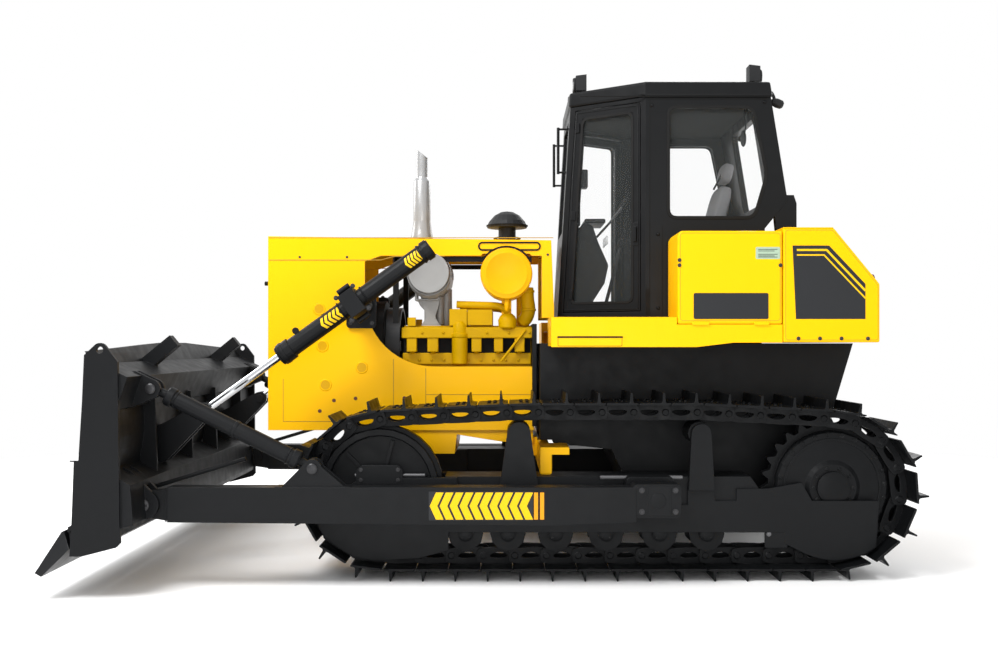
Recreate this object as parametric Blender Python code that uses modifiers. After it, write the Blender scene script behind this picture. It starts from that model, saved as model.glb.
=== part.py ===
"""Crawler bulldozer with a straight blade, an open-sided engine bay and a six-sided cab.

Metres, +Z up. The machine faces -X, its left side is at -Y, and the origin lies on the ground
under the middle of its box. Left and right pieces come from one function each, with side = -1 for
the left and +1 for the right.
"""

import math

import bmesh
import bpy
from mathutils import Matrix, Vector

GAP = 0.0005  # between pieces of one body that touch
OVERLAP = 0.004  # how far fused pieces run into each other

# Tracks: the pin line is the loop through the centres of the link pins.
SHOES = 42
PIN_RADIUS = 0.468  # of the pin line round the idler and the sprocket
RAIL_DEPTH = 0.055  # from the pin line in to the face that rolls
SHOE_SEAT = 0.058  # from the pin line out to the shoe
SHOE_PLATE = 0.014
GROUSER = 0.070
AXLE_Z = PIN_RADIUS + SHOE_SEAT + SHOE_PLATE + GROUSER
IDLER_X = -0.834
SPROCKET_X = 2.272
TRACK_Y = 1.0  # half the gauge
SHOE_HALF = 0.28
RAIL_IN, RAIL_OUT = 0.055, 0.105  # each rail's sides, from the middle of the track
CARRIER_X = (0.12, 1.36)
CARRIER_PIN_Z = 1.125
ROLLER_X = (-0.245, 0.045, 0.371, 0.716, 1.083, 1.406)
ROLLER_R, FLANGE_R = 0.100, 0.122
WHEEL_R = PIN_RADIUS * math.cos(math.pi * 0.218 / (2 * math.pi * PIN_RADIUS)) - RAIL_DEPTH - 0.001

# Lift linkage, seen from the side.
ARM_PIVOT = (0.997, 0.585)
ARM_Y = (1.44, 1.58)
ARM_Z = (0.446, 0.671)
LIFT_Y = 0.896
TRUNNION = (-1.044, 1.882)
LIFT_PIN = (-2.093, 1.125)
BARREL_R, ROD_R, BORE_R = 0.065, 0.028, 0.034
BARREL_BACK, BARREL_FRONT = 0.674, 0.636  # from the trunnion along the cylinder

# Blade.
BLADE_HALF = 1.862
BLADE_TOP = (-2.604, 1.593)
BLADE_FOOT = (-2.690, 0.440)
BLADE_HOLLOW = 0.205  # how deep the moldboard's curve is
MOLDBOARD = 0.022
ARM_PIN = (-2.303, 0.558)
BRACE_TOP = (-2.262, 1.306)
BRACE_FOOT = (-1.220, 0.790)

# Engine bay.
BAY_Y = 0.45
BAY_X = (-1.742, 0.242)
BAY_Z = (0.952, 2.214)
HOOD_Z = 2.400
PRECLEANER_FOOT = 2.379

# Cab and platform.
PLATFORM_Y = (0.66, 1.25)
PLATFORM_X = (0.336, 1.895)
PLATFORM_Z = 1.777
CAB_FLOOR, CAB_EAVES, CAB_TOP = 1.780, 3.360, 3.470
CAB_HALF = 0.80
CAB_FRONT, CAB_FRONT_HALF = 0.42, 0.37
CAB_CORNER = 1.03  # where the door face meets the side
CAB_FOOT = 1.882  # the rear wall below the tank's top
CAB_REAR = 2.045  # the rear wall's furthest point, at the knee
CAB_STEP, CAB_KNEE = 2.420, 2.620  # heights between which the rear wall runs out to its knee
CAB_WALL = 0.050
FRONT_LEAN = 0.095  # how far the windscreen's top stands back
REAR_LEAN = 0.137
DOOR_Z = (1.835, 3.325)
DOOR_REAR = 0.045  # from the corner pillar's edge
DOOR_THICK = 0.042
DOOR_GAP = 0.006
DOOR_RAIL = 0.062
GLASS = 0.008


# --- materials ---------------------------------------------------------------------------------


def paint(name, colour, roughness, metallic=0.0, alpha=1.0):
    made = bpy.data.materials.new(name)
    made.use_nodes = True
    shader = made.node_tree.nodes["Principled BSDF"]
    shader.inputs["Base Color"].default_value = (*colour, 1.0)
    shader.inputs["Roughness"].default_value = roughness
    shader.inputs["Metallic"].default_value = metallic
    shader.inputs["Alpha"].default_value = alpha
    made.diffuse_color = (*colour, alpha)
    return made


def make_materials():
    return {
        "yellow": paint("yellow_paint", (0.90, 0.62, 0.01), 0.35),
        "black": paint("charcoal_paint", (0.030, 0.032, 0.036), 0.50),
        "steel": paint("track_steel", (0.025, 0.025, 0.028), 0.55, 0.6),
        "chrome": paint("chrome_rod", (0.75, 0.76, 0.78), 0.12, 1.0),
        "aluminium": paint("exhaust_metal", (0.62, 0.63, 0.65), 0.30, 1.0),
        "silver": paint("silver_paint", (0.70, 0.70, 0.72), 0.45),
        "engine": paint("engine_paint", (0.55, 0.36, 0.02), 0.50),
        "rubber": paint("black_plastic", (0.020, 0.020, 0.022), 0.60),
        "glass": paint("tinted_glass", (0.10, 0.12, 0.12), 0.05, 0.0, 0.35),
        "seat": paint("seat_cover", (0.12, 0.12, 0.13), 0.85),
    }


# --- making solids -----------------------------------------------------------------------------


def object_from(bm, name="piece"):
    mesh = bpy.data.meshes.new(name)
    bmesh.ops.recalc_face_normals(bm, faces=bm.faces)
    bm.to_mesh(mesh)
    bm.free()
    made = bpy.data.objects.new(name, mesh)
    bpy.context.scene.collection.objects.link(made)
    return made


def box(low, high):
    bm = bmesh.new()
    bmesh.ops.create_cube(bm, size=1.0)
    low, high = Vector(low), Vector(high)
    bmesh.ops.scale(bm, vec=high - low, verts=bm.verts)
    bmesh.ops.translate(bm, vec=(low + high) / 2, verts=bm.verts)
    return object_from(bm)


def pointing(start, end):
    """The matrix that carries +Z at the origin to the line from start to end."""
    start, end = Vector(start), Vector(end)
    turn = (end - start).to_track_quat("Z", "Y").to_matrix().to_4x4()
    return Matrix.Translation(start) @ turn


def rod(start, end, radius, sides=16, end_radius=None):
    """A cylinder, or a cone where end_radius is given."""
    length = (Vector(end) - Vector(start)).length
    bm = bmesh.new()
    bmesh.ops.create_cone(
        bm,
        cap_ends=True,
        segments=sides,
        radius1=radius,
        radius2=radius if end_radius is None else end_radius,
        depth=length,
    )
    bmesh.ops.translate(bm, vec=(0, 0, length / 2), verts=bm.verts)
    bmesh.ops.transform(bm, matrix=pointing(start, end), verts=bm.verts)
    return object_from(bm)


def baked(source):
    """A plain mesh object of what a curve or a stack of modifiers makes, in place of its source."""
    bpy.context.view_layer.update()
    graph = bpy.context.evaluated_depsgraph_get()
    mesh = bpy.data.meshes.new_from_object(source.evaluated_get(graph))
    bm = bmesh.new()
    bm.from_mesh(mesh)
    bmesh.ops.transform(bm, matrix=source.matrix_world, verts=bm.verts)
    bmesh.ops.remove_doubles(bm, verts=bm.verts, dist=1e-5)
    bpy.data.objects.remove(source)
    bpy.data.meshes.remove(mesh)
    return object_from(bm)


PLANES = {
    "XZ": Matrix(((1, 0, 0, 0), (0, 0, -1, 0), (0, 1, 0, 0), (0, 0, 0, 1))),
    "YZ": Matrix(((0, 0, 1, 0), (1, 0, 0, 0), (0, 1, 0, 0), (0, 0, 0, 1))),
    "XY": Matrix.Identity(4),
}
NORMALS = {"XZ": Vector((0, 1, 0)), "YZ": Vector((1, 0, 0)), "XY": Vector((0, 0, 1))}


def slab(outlines, low, high, plane="XZ", place=None):
    """A flat outline, with any further outlines as its holes, drawn in a plane and thickened
    from low to high across it. place overrides the plane with a matrix of the caller's."""
    curve = bpy.data.curves.new("outline", "CURVE")
    curve.dimensions = "2D"
    curve.fill_mode = "BOTH"
    curve.extrude = abs(high - low) / 2
    for outline in outlines:
        spline = curve.splines.new("POLY")
        spline.points.add(len(outline) - 1)
        for point, (x, y) in zip(spline.points, outline):
            point.co = (x, y, 0, 1)
        spline.use_cyclic_u = True
    made = bpy.data.objects.new("outline", curve)
    bpy.context.scene.collection.objects.link(made)
    middle = (low + high) / 2
    if place is None:
        made.matrix_world = Matrix.Translation(NORMALS[plane] * middle) @ PLANES[plane]
    else:
        made.matrix_world = place @ Matrix.Translation((0, 0, middle))
    return baked(made)


def turned(profile, place, steps=20):
    """A closed profile of (radius, height) turned about +Z with a Screw, then put in place."""
    bm = bmesh.new()
    verts = [bm.verts.new((radius, 0, height)) for radius, height in profile]
    for first, second in zip(verts, verts[1:]):
        bm.edges.new((first, second))
    mesh = bpy.data.meshes.new("profile")
    bm.to_mesh(mesh)
    bm.free()
    made = bpy.data.objects.new("profile", mesh)
    bpy.context.scene.collection.objects.link(made)
    screw = made.modifiers.new("turn", "SCREW")
    screw.steps = screw.render_steps = steps
    screw.use_merge_vertices = True
    screw.merge_threshold = 0.0001
    made.matrix_world = place
    return baked(made)


def arc(centre, radius, first, last, steps):
    """Points round a circle, from the angle first to the angle last, in degrees."""
    angles = [math.radians(first + (last - first) * k / steps) for k in range(steps + 1)]
    return [(centre[0] + radius * math.cos(a), centre[1] + radius * math.sin(a)) for a in angles]


def rounded(low, high, radius, steps=3):
    """A rectangle with round corners."""
    corners = (
        ((high[0] - radius, high[1] - radius), 0),
        ((low[0] + radius, high[1] - radius), 90),
        ((low[0] + radius, low[1] + radius), 180),
        ((high[0] - radius, low[1] + radius), 270),
    )
    return [p for centre, first in corners for p in arc(centre, radius, first, first + 90, steps)]


def fused(pieces, cutters=(), solver="EXACT"):
    """One body from pieces that overlap, with the cutters taken out of it."""
    whole, others = pieces[0], list(pieces[1:])
    for other, operation in [(o, "UNION") for o in others] + [(c, "DIFFERENCE") for c in cutters]:
        boolean = whole.modifiers.new(operation.lower(), "BOOLEAN")
        boolean.operation = operation
        boolean.solver = solver
        boolean.object = other
    made = baked(whole)
    for helper in [*others, *cutters]:
        bpy.data.objects.remove(helper)
    return made


def sliced(piece, point, normal):
    """Cuts off what lies beyond a plane, on the side its normal points to, and closes the cut."""
    bm = bmesh.new()
    bm.from_mesh(piece.data)
    cut = bmesh.ops.bisect_plane(
        bm,
        geom=[*bm.verts, *bm.edges, *bm.faces],
        plane_co=point,
        plane_no=normal,
        clear_outer=True,
    )
    rim = [e for e in cut["geom_cut"] if isinstance(e, bmesh.types.BMEdge)]
    bmesh.ops.contextual_create(bm, geom=rim)
    bpy.data.objects.remove(piece)
    return object_from(bm)


def part(piece, name, material, origin=(0, 0, 0)):
    """Names a finished piece, gives it its material and puts its origin where it belongs."""
    piece.name = name
    piece.data.name = name
    piece.data.materials.clear()
    piece.data.materials.append(MATERIALS[material])
    piece.data.transform(Matrix.Translation(-Vector(origin)))
    piece.location = origin
    piece.data.shade_smooth()
    piece.data.set_sharp_from_angle(angle=math.radians(30))
    PARTS.objects.link(piece)
    bpy.context.scene.collection.objects.unlink(piece)
    return piece


def carried(name, point, pieces, parent=None):
    """An empty on a joint's axis, with the pieces that move with it parented to it."""
    axle = bpy.data.objects.new(name, None)
    axle.empty_display_size = 0.2
    PARTS.objects.link(axle)
    axle.location = point
    bpy.context.view_layer.update()
    for piece in pieces:
        piece.parent = axle
        piece.matrix_parent_inverse = axle.matrix_world.inverted()
    if parent:
        axle.parent = parent
        axle.matrix_parent_inverse = parent.matrix_world.inverted()
    return axle


def side_name(stem, side):
    return f"{stem}_{'left' if side < 0 else 'right'}"


def between(side, near, far):
    """Two Y values in rising order on one side of the machine."""
    return sorted((side * near, side * far))


# --- tracks ------------------------------------------------------------------------------------


def pin_line():
    """Points along the pin line, close together, going rearwards along the ground."""
    idler, sprocket = (IDLER_X, AXLE_Z), (SPROCKET_X, AXLE_Z)
    rear = (CARRIER_X[1] - SPROCKET_X, CARRIER_PIN_Z - AXLE_Z)
    front = (CARRIER_X[0] - IDLER_X, CARRIER_PIN_Z - AXLE_Z)
    leave_rear = math.degrees(math.atan2(rear[1], rear[0]) - math.acos(PIN_RADIUS / math.hypot(*rear)))
    meet_front = math.degrees(math.atan2(front[1], front[0]) + math.acos(PIN_RADIUS / math.hypot(*front)))
    points = arc(sprocket, PIN_RADIUS, -90, leave_rear, 60)
    points += [(CARRIER_X[1], CARRIER_PIN_Z), (CARRIER_X[0], CARRIER_PIN_Z)]
    points += arc(idler, PIN_RADIUS, meet_front, 270, 60)
    return [Vector(p) for p in points]


def pins():
    """The pins' centres, evenly spaced along the pin line."""
    line = pin_line()
    line.append(line[0])
    lengths = [(b - a).length for a, b in zip(line, line[1:])]
    step, found, walked, index = sum(lengths) / SHOES, [], 0.0, 0
    for k in range(SHOES):
        while walked + lengths[index] < k * step:
            walked += lengths[index]
            index += 1
        share = (k * step - walked) / lengths[index]
        found.append(line[index].lerp(line[index + 1], share))
    return found


def outward(first, second):
    """The unit vector along a link and the one that points out of the loop."""
    along = (second - first).normalized()
    return along, Vector((along.y, -along.x))


def loop_at(points, distance):
    """The loop moved out from the pins by a distance."""
    moved = []
    for before, here, after in zip(points[-1:] + points[:-1], points, points[1:] + points[:1]):
        first, second = outward(before, here)[1], outward(here, after)[1]
        middle = (first + second).normalized()
        moved.append(here + middle * distance / middle.dot(first))
    return [tuple(p) for p in moved]


def shoe_outline(points):
    """The outside of the shoes: flat plates, each with a grouser near its leading edge."""
    outline = []
    seat, face, tip = SHOE_SEAT, SHOE_SEAT + SHOE_PLATE, SHOE_SEAT + SHOE_PLATE + GROUSER
    for here, after in zip(points, points[1:] + points[:1]):
        along, out = outward(here, after)
        length = (after - here).length
        for reach, height in (
            (0.006, face),
            (0.020, face),
            (0.028, tip),
            (0.042, tip),
            (0.052, face),
            (length - 0.006, face),
        ):
            outline.append(tuple(here + along * reach + out * height))
    return outline


def track(side):
    points = pins()
    inner, outer = between(side, TRACK_Y - SHOE_HALF, TRACK_Y + SHOE_HALF)
    belt = slab([shoe_outline(points), loop_at(points, SHOE_SEAT)], inner, outer)
    rails = []
    for hand in (-1, 1):
        low, high = sorted((side * TRACK_Y + hand * RAIL_IN, side * TRACK_Y + hand * RAIL_OUT))
        loops = [loop_at(points, SHOE_SEAT + OVERLAP), loop_at(points, -RAIL_DEPTH)]
        rails.append(slab(loops, low, high))
    return part(fused([belt, *rails], solver="MANIFOLD"), side_name("track", side), "steel")


def across(side, x, z):
    """The matrix of a wheel: its axis runs outboard from the middle of the track."""
    start = (x, side * TRACK_Y, z)
    return pointing(start, (x, side * (TRACK_Y + 1), z))


def idler(side):
    profile = [
        (0, 0.146),
        (0.045, 0.146),
        (0.045, 0.130),
        (0.110, 0.125),
        (0.130, 0.060),
        (WHEEL_R - 0.05, 0.060),
        (WHEEL_R - 0.04, 0.104),
        (WHEEL_R, 0.104),
        (WHEEL_R, 0.046),
        (WHEEL_R + 0.030, 0.040),
    ]
    profile += [(radius, -height) for radius, height in reversed(profile)]
    made = turned(profile, across(side, IDLER_X, AXLE_Z), 28)
    return part(made, side_name("idler", side), "black")


def sprocket(side):
    teeth, root, tip = 27, 0.425, 0.470
    outline = []
    for k in range(teeth):
        for share, radius in ((0.0, root), (0.34, root), (0.60, tip), (0.74, tip)):
            angle = 2 * math.pi * (k + share) / teeth
            outline.append((radius * math.cos(angle), radius * math.sin(angle)))
    place = across(side, SPROCKET_X, AXLE_Z)
    ring = slab([outline], -0.035, 0.035, place=place)
    hub = turned(
        [(0, 0.128), (0.16, 0.128), (0.19, 0.110), (0.375, 0.100), (0.388, 0.085), (0.388, 0.03), (0, 0.03)],
        place,
        28,
    )
    boss = turned([(0, -0.03), (0.25, -0.03), (0.25, -0.12), (0, -0.12)], place)
    return part(fused([ring, hub, boss]), side_name("sprocket", side), "steel")


def roller_bank(side):
    """The bottom rollers on their shafts, between the two guard bars that carry them."""
    centre_z = AXLE_Z - PIN_RADIUS + RAIL_DEPTH + 0.001 + ROLLER_R
    profile = [
        (0, 0.140),
        (0.035, 0.140),
        (0.035, 0.130),
        (FLANGE_R, 0.129),
        (FLANGE_R, 0.110),
        (ROLLER_R, 0.107),
    ]
    profile += [(radius, -height) for radius, height in reversed(profile)]
    pieces = []
    for hand in (-1, 1):
        low, high = sorted((side * TRACK_Y + hand * 0.132, side * TRACK_Y + hand * 0.146))
        pieces.append(box((ROLLER_X[0] - 0.08, low, 0.316), (ROLLER_X[-1] + 0.08, high, 0.400)))
    for x in ROLLER_X:
        pieces.append(turned(profile, across(side, x, centre_z), 12))
    return part(fused(pieces), side_name("roller_bank", side), "steel")


def guard_outline():
    """The outboard skirt: a rock guard round the idler, a straight run and one round the sprocket."""
    idler_centre, sprocket_centre = (IDLER_X, AXLE_Z), (SPROCKET_X, AXLE_Z)
    front = arc(idler_centre, 0.490, 213, 270, 10)
    rear = arc(sprocket_centre, 0.488, 246, 305, 10)
    return [
        *front,
        (-0.56, 0.135),
        (-0.36, 0.190),
        (-0.36, 0.312),
        (1.93, 0.312),
        (1.93, 0.235),
        *rear,
        (2.56, 0.312),
        (2.575, 0.526),
        (2.115, 0.526),
        (2.045, 0.650),
        (1.820, 0.610),
        (1.602, 0.608),
        (1.602, 0.526),
        (1.455, 0.526),
        (1.440, 0.640),
        (1.270, 0.640),
        (1.270, 0.500),
        (-1.20, 0.500),
        (-1.245, 0.420),
    ]


def track_frame(side):
    """The roller frame with its fork, skirts, carrier rollers and the stub the push arm turns on."""
    skirt_in, skirt_out = 0.148, 0.170
    middle = side * TRACK_Y
    low, high = between(side, TRACK_Y - 0.150, TRACK_Y + 0.150)
    pieces = [slab([[(-0.385, 0.435), (-0.385, 0.690), (1.70, 0.690), (1.765, 0.600), (1.765, 0.435)]], low, high)]
    out_low, out_high = between(side, TRACK_Y + skirt_in, TRACK_Y + skirt_out)
    pieces.append(slab([guard_outline()], out_low, out_high))
    in_low, in_high = between(side, TRACK_Y - skirt_out, TRACK_Y - skirt_in)
    pieces.append(slab([[(-0.55, 0.312), (-0.55, 0.50), (1.75, 0.50), (1.75, 0.312)]], in_low, in_high))
    for hand in (-1, 1):
        fork_low, fork_high = sorted((middle + hand * 0.147, middle + hand * 0.180))
        fork = [(-0.30, 0.48), (-0.30, 0.685), (-0.95, 0.685), (-1.02, 0.640), (-1.02, 0.520), (-0.95, 0.48)]
        pieces.append(slab([fork], fork_low, fork_high))
    carrier_z = CARRIER_PIN_Z - RAIL_DEPTH - 0.001 - 0.085
    for x, foot, cap in zip(CARRIER_X, (0.135, 0.088), (0.080, 0.068)):
        post = [(x - foot, 0.60), *arc((x, carrier_z), cap, 180, 0, 8), (x + foot, 0.60)]
        post_low, post_high = between(side, TRACK_Y + 0.146, TRACK_Y + 0.196)
        pieces.append(slab([post], post_low, post_high))
        place = across(side, x, carrier_z)
        wheel = [(0, 0.150), (0.045, 0.150), (0.045, 0.128), (0.081, 0.124), (0.081, -0.120), (0, -0.120)]
        pieces.append(turned(wheel, place, 16))
    pad_low, pad_high = between(side, TRACK_Y + 0.160, TRACK_Y + 0.300)
    x, z = ARM_PIVOT
    pieces.append(slab([rounded((x - 0.16, z - 0.13), (x + 0.16, z + 0.12), 0.03)], pad_low, pad_high))
    pieces.append(rod((x, side * 1.28, z), (x, side * 1.47, z), 0.070))
    return part(fused(pieces, solver="MANIFOLD"), side_name("track_frame", side), "black")


# --- chassis -----------------------------------------------------------------------------------


def main_frame():
    """The yellow front frame: two deep rails beside the engine, a cross block, and the equaliser
    bar whose ends rest on the track frames."""
    pieces = [slab([[(-0.760, 0.948), (-0.570, 0.775), (-0.350, 0.775), (-0.330, 0.948)]], -0.436, 0.436)]
    rail = [
        (-1.330, 0.956),
        (-1.330, 1.150),
        (0.236, 1.150),
        (0.236, 0.860),
        (0.000, 0.865),
        (-0.340, 0.920),
        (-0.700, 0.940),
    ]
    for side in (-1, 1):
        low, high = between(side, 0.290, 0.436)
        pieces.append(slab([rail], low, high))
        low, high = between(side, 0.700, 1.060)
        cap = [(0.270, 0.700), (0.270, 0.880), (0.470, 0.880), (0.470, 0.830), (0.345, 0.830), (0.345, 0.700)]
        pieces.append(slab([cap], low, high))
    pieces.append(slab([rounded((0.265, 0.6915), (0.350, 0.878), 0.015, 2)], -1.050, 1.050))
    pieces.append(box((0.100, -0.420, 0.760), (0.268, 0.420, 0.900)))
    return part(fused(pieces, solver="MANIFOLD"), "main_frame", "yellow")


def rear_case():
    """The black transmission and steering case, with the final drive housings and the pivot shaft."""
    case = slab(
        [
            [
                (0.280, 1.600),
                (0.280, 0.890),
                (0.800, 0.830),
                (0.980, 0.450),
                (2.080, 0.450),
                (2.300, 0.800),
                (2.430, 1.200),
                (2.550, 1.600),
            ]
        ],
        -0.680,
        0.680,
    )
    # the equaliser bar passes in front of and below this corner
    notch = box((0.20, -0.70, 0.60), (0.375, 0.70, 0.90))
    bearer = box((0.46, -0.640, 1.590), (1.898, 0.640, 1.770))
    drives = [rod((SPROCKET_X, side * 0.60, AXLE_Z), (SPROCKET_X, side * 0.874, AXLE_Z), 0.300) for side in (-1, 1)]
    shaft = rod((1.60, -0.826, 0.560), (1.60, 0.826, 0.560), 0.080)
    return part(fused([case, bearer, *drives, shaft], [notch]), "rear_case", "black")


def drawbar():
    """The rear drawbar: a clevis plate standing out of the back of the case."""
    plate = [(2.300, 0.10), (2.300, -0.10), (2.60, -0.10), (2.68, -0.05), (2.68, 0.05), (2.60, 0.10)]
    lower = slab([plate], 0.560, 0.615, "XY")
    upper = slab([plate], 0.715, 0.770, "XY")
    root = slab([[(2.1535, 0.560), (2.2880, 0.770), (2.420, 0.770), (2.420, 0.560)]], -0.100, 0.100)
    eye = rod((2.60, 0, 0.50), (2.60, 0, 0.84), 0.030)
    return part(fused([root, lower, upper], [eye]), "drawbar", "black")


def engine_block():
    block = box((-0.740, -0.270, 0.9505), (0.226, 0.270, 1.735))
    return part(block, "engine_block", "engine")


def radiator():
    """The radiator core, with the round fan shroud behind it."""
    core = box((-1.620, -0.400, 0.970), (-1.400, 0.400, 2.190))
    shroud = rod((-1.402 - OVERLAP, 0, 1.560), (-0.900, 0, 1.560), 0.370, 36)
    return part(fused([core, shroud]), "radiator", "rubber")


def radiator_guard():
    """The square front frame round the radiator, open for the grille."""
    outer = [(-BAY_Y + 0.008, BAY_Z[0]), (BAY_Y - 0.008, BAY_Z[0]), (BAY_Y - 0.008, BAY_Z[1]), (-BAY_Y + 0.008, BAY_Z[1])]
    front = slab([outer, rounded((-0.360, 1.060), (0.360, 2.120), 0.03, 2)], -1.742, -1.690, "YZ")
    belt = slab([outer, rounded((-0.405, 0.965), (0.405, 2.195), 0.01, 1)], -1.692, -1.340, "YZ")
    return part(fused([front, belt]), "radiator_guard", "yellow")


def grille():
    """Slats across the front opening, held by two uprights."""
    pieces = [box((-1.722, y - 0.012, 1.0605), (-1.700, y + 0.012, 2.1195)) for y in (-0.20, 0.20)]
    count, low, high = 13, 1.13, 2.06
    for k in range(count):
        z = low + (high - low) * k / (count - 1)
        slat = [(-1.734, z - 0.020), (-1.704, z + 0.010), (-1.698, z + 0.004), (-1.728, z - 0.026)]
        pieces.append(slab([slat], -0.3595, 0.3595))
    return part(fused(pieces), "grille", "rubber")


def side_panel(side):
    """The bay's side sheet: full height at the radiator, then a quarter-round down to the low rail."""
    sweep = arc((-0.505, 1.942), 0.515, 180, 270, 14)
    outline = [
        (BAY_X[0], BAY_Z[0]),
        (BAY_X[0], BAY_Z[1]),
        (-1.020, BAY_Z[1]),
        *sweep,
        (BAY_X[1], 1.427),
        (BAY_X[1], BAY_Z[0]),
    ]
    low, high = between(side, BAY_Y - 0.0075, BAY_Y + 0.0045)
    return part(slab([outline], low, high), side_name("side_panel", side), "yellow")


def hood():
    """The top sheet with its skirts and the pillars that stand on the platform behind the engine."""
    front, rear = BAY_X[0], 0.371
    top = slab([[(front, 2.360), (front, HOOD_Z), (rear, 2.370), (rear, 2.335)]], -BAY_Y, BAY_Y)
    pieces = [top]
    for side in (-1, 1):
        low, high = between(side, BAY_Y - 0.012, BAY_Y + 0.004)
        skirt = [
            (front, BAY_Z[1] + GAP),
            (front, HOOD_Z - 0.004),
            (rear, 2.366),
            (0.392, 1.860),
            (0.392, 1.790),
            (0.300, 1.790),
            (0.300, 2.254),
            (-0.900, 2.254),
            (-1.010, BAY_Z[1] + GAP),
        ]
        pieces.append(slab([skirt], low, high))
    back = slab([[(0.300, 1.800), (0.300, 2.340), (0.366, 2.340), (0.386, 1.860), (0.386, 1.800)]], -0.441, 0.441)
    gap = box((0.28, -0.400, 1.70), (0.42, 0.400, 2.300))
    arch = rod((0.036, -0.60, 2.118), (0.036, -0.30, 2.118), 0.205, 24)
    lead = slab([[(-0.20, 2.20), (-0.14, 2.27), (0.21, 2.27), (0.27, 2.20)]], -0.60, -0.30)
    stack_hole = rod((-0.627, 0, 2.20), (-0.627, 0, 2.60), 0.060)
    cleaner_hole = rod((0.043, 0, 2.20), (0.043, 0, 2.60), 0.060)
    back = fused([back], [gap])
    return part(fused([*pieces, back], [arch, lead, stack_hole, cleaner_hole]), "hood", "yellow")


def muffler():
    """The pale silencer lying across the bay, on its stand, with the pipe that feeds it."""
    place = pointing((-0.542, 0.05, 2.095), (-0.542, -1, 2.095))
    can = turned([(0, 0.50), (0.09, 0.492), (0.14, 0.465), (0.160, 0.43), (0.160, 0.02), (0.12, 0.0), (0, 0.0)], place, 20)
    stand = slab([[(-0.615, 1.737), (-0.575, 1.80), (-0.60, 1.88), (-0.62, 1.96), (-0.464, 1.96), (-0.484, 1.88), (-0.509, 1.80), (-0.469, 1.737)]], -0.25, -0.238)
    pipe = rod((-0.43, -0.10, 1.737), (-0.43, -0.10, 2.02), 0.045)
    outlet = rod((-0.627, -0.02, 2.10), (-0.627, -0.02, 2.33), 0.045)
    return part(fused([can, stand, pipe, outlet]), "muffler", "silver")


def exhaust_stack():
    """The tall pipe on the hood: a flared foot, a wide sleeve and a thin tip cut on a slant."""
    place = Matrix.Translation((-0.627, 0, 0))
    foot = 2.3935
    body = turned(
        [(0, 3.135), (0.046, 3.135), (0.046, 2.900), (0.066, 2.875), (0.066, 2.560), (0.092, foot), (0, foot)],
        place,
    )
    body = sliced(body, (-0.673, 0, 3.13), (0.62, 0, 0.78))
    bore = rod((-0.627, 0, 2.93), (-0.627, 0, 3.20), 0.041)
    neck = rod((-0.627, 0, 2.345), (-0.627, 0, foot + 0.01), 0.055)
    return part(fused([body, neck], [bore]), "exhaust_stack", "aluminium")


def air_cleaner():
    """The big yellow canister that shows through the hood's side, on its foot, with its outlet elbow."""
    place = pointing((0.036, 0, 2.118), (0.036, -1, 2.118))
    can = turned(
        [(0, 0.515), (0.15, 0.512), (0.175, 0.500), (0.190, 0.480), (0.190, 0.03), (0, 0.03)],
        place,
        24,
    )
    foot = box((0.0, -0.30, 1.7365), (0.075, -0.20, 1.95))
    drop = rod((0.165, -0.12, 1.7365), (0.165, -0.12, 2.08), 0.050, 20)
    intake = rod((0.043, -0.10, 2.20), (0.043, -0.10, 2.333), 0.050)
    return part(fused([can, foot, drop, intake]), "air_cleaner", "yellow")


def precleaner():
    """The black mushroom cap on its neck."""
    profile = [
        (0, 2.640),
        (0.050, 2.632),
        (0.100, 2.605),
        (0.140, 2.560),
        (0.160, 2.522),
        (0.156, 2.508),
        (0.130, 2.505),
        (0.068, 2.505),
        (0.068, PRECLEANER_FOOT),
        (0, PRECLEANER_FOOT),
    ]
    made = turned(profile, Matrix.Translation((0.043, 0, 0)), 20)
    neck = rod((0.043, 0, 2.345), (0.043, 0, 2.40), 0.055)
    return part(fused([made, neck]), "precleaner", "rubber")


def bevelled(piece, width, segments=2, angle=30):
    """Rounds a piece's sharp edges."""
    bevel = piece.modifiers.new("edges", "BEVEL")
    bevel.width = width
    bevel.segments = segments
    bevel.limit_method = "ANGLE"
    bevel.angle_limit = math.radians(angle)
    return baked(piece)


# --- platform, tanks ---------------------------------------------------------------------------


def platform(side):
    """The fender over a track: a tread plate with an outer valance and a closed front end."""
    inner, outer = PLATFORM_Y
    front, rear = PLATFORM_X
    low, high = between(side, inner, outer - 0.006)
    fender = box((front, low, 1.700), (rear, high, 1.727))
    tread = box((front, low, 1.720), (1.183, high, PLATFORM_Z))
    low, high = between(side, outer - 0.020, outer)
    valance = slab(
        [
            [
                (front, 1.574),
                (1.316, 1.574),
                (1.566, 1.604),
                (rear, 1.604),
                (rear, 1.7265),
                (1.184, 1.7265),
                (1.184, PLATFORM_Z - 0.001),
                (front, PLATFORM_Z - 0.001),
            ]
        ],
        low,
        high,
    )
    low, high = between(side, inner + 0.03, outer - 0.010)
    end = box((front + 0.001, low, 1.580), (front + 0.020, high, 1.750))
    return part(fused([fender, tread, valance, end]), side_name("platform", side), "yellow")


def side_box(side):
    """The locker on the fender beside the cab: batteries on the left, hydraulic oil on the right."""
    low, high = between(side, 0.812, 1.252)
    outline = [(1.188, 1.7285), (1.188, 2.325), (1.210, 2.358), (1.893, 2.358), (1.893, 1.7285)]
    made = bevelled(slab([outline], low, high), 0.012)
    name = "battery_box" if side < 0 else "hydraulic_tank"
    return part(made, name, "yellow")


def fuel_tank():
    """The rear tank, across the whole width behind the cab."""
    tank = box((1.8985, -1.252, 1.606), (2.550, 1.252, 2.378))
    tank = sliced(tank, (2.240, 0, 2.378), (0.378, 0, 0.310))
    return part(bevelled(tank, 0.010), "fuel_tank", "yellow")


# --- cab ---------------------------------------------------------------------------------------


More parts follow.
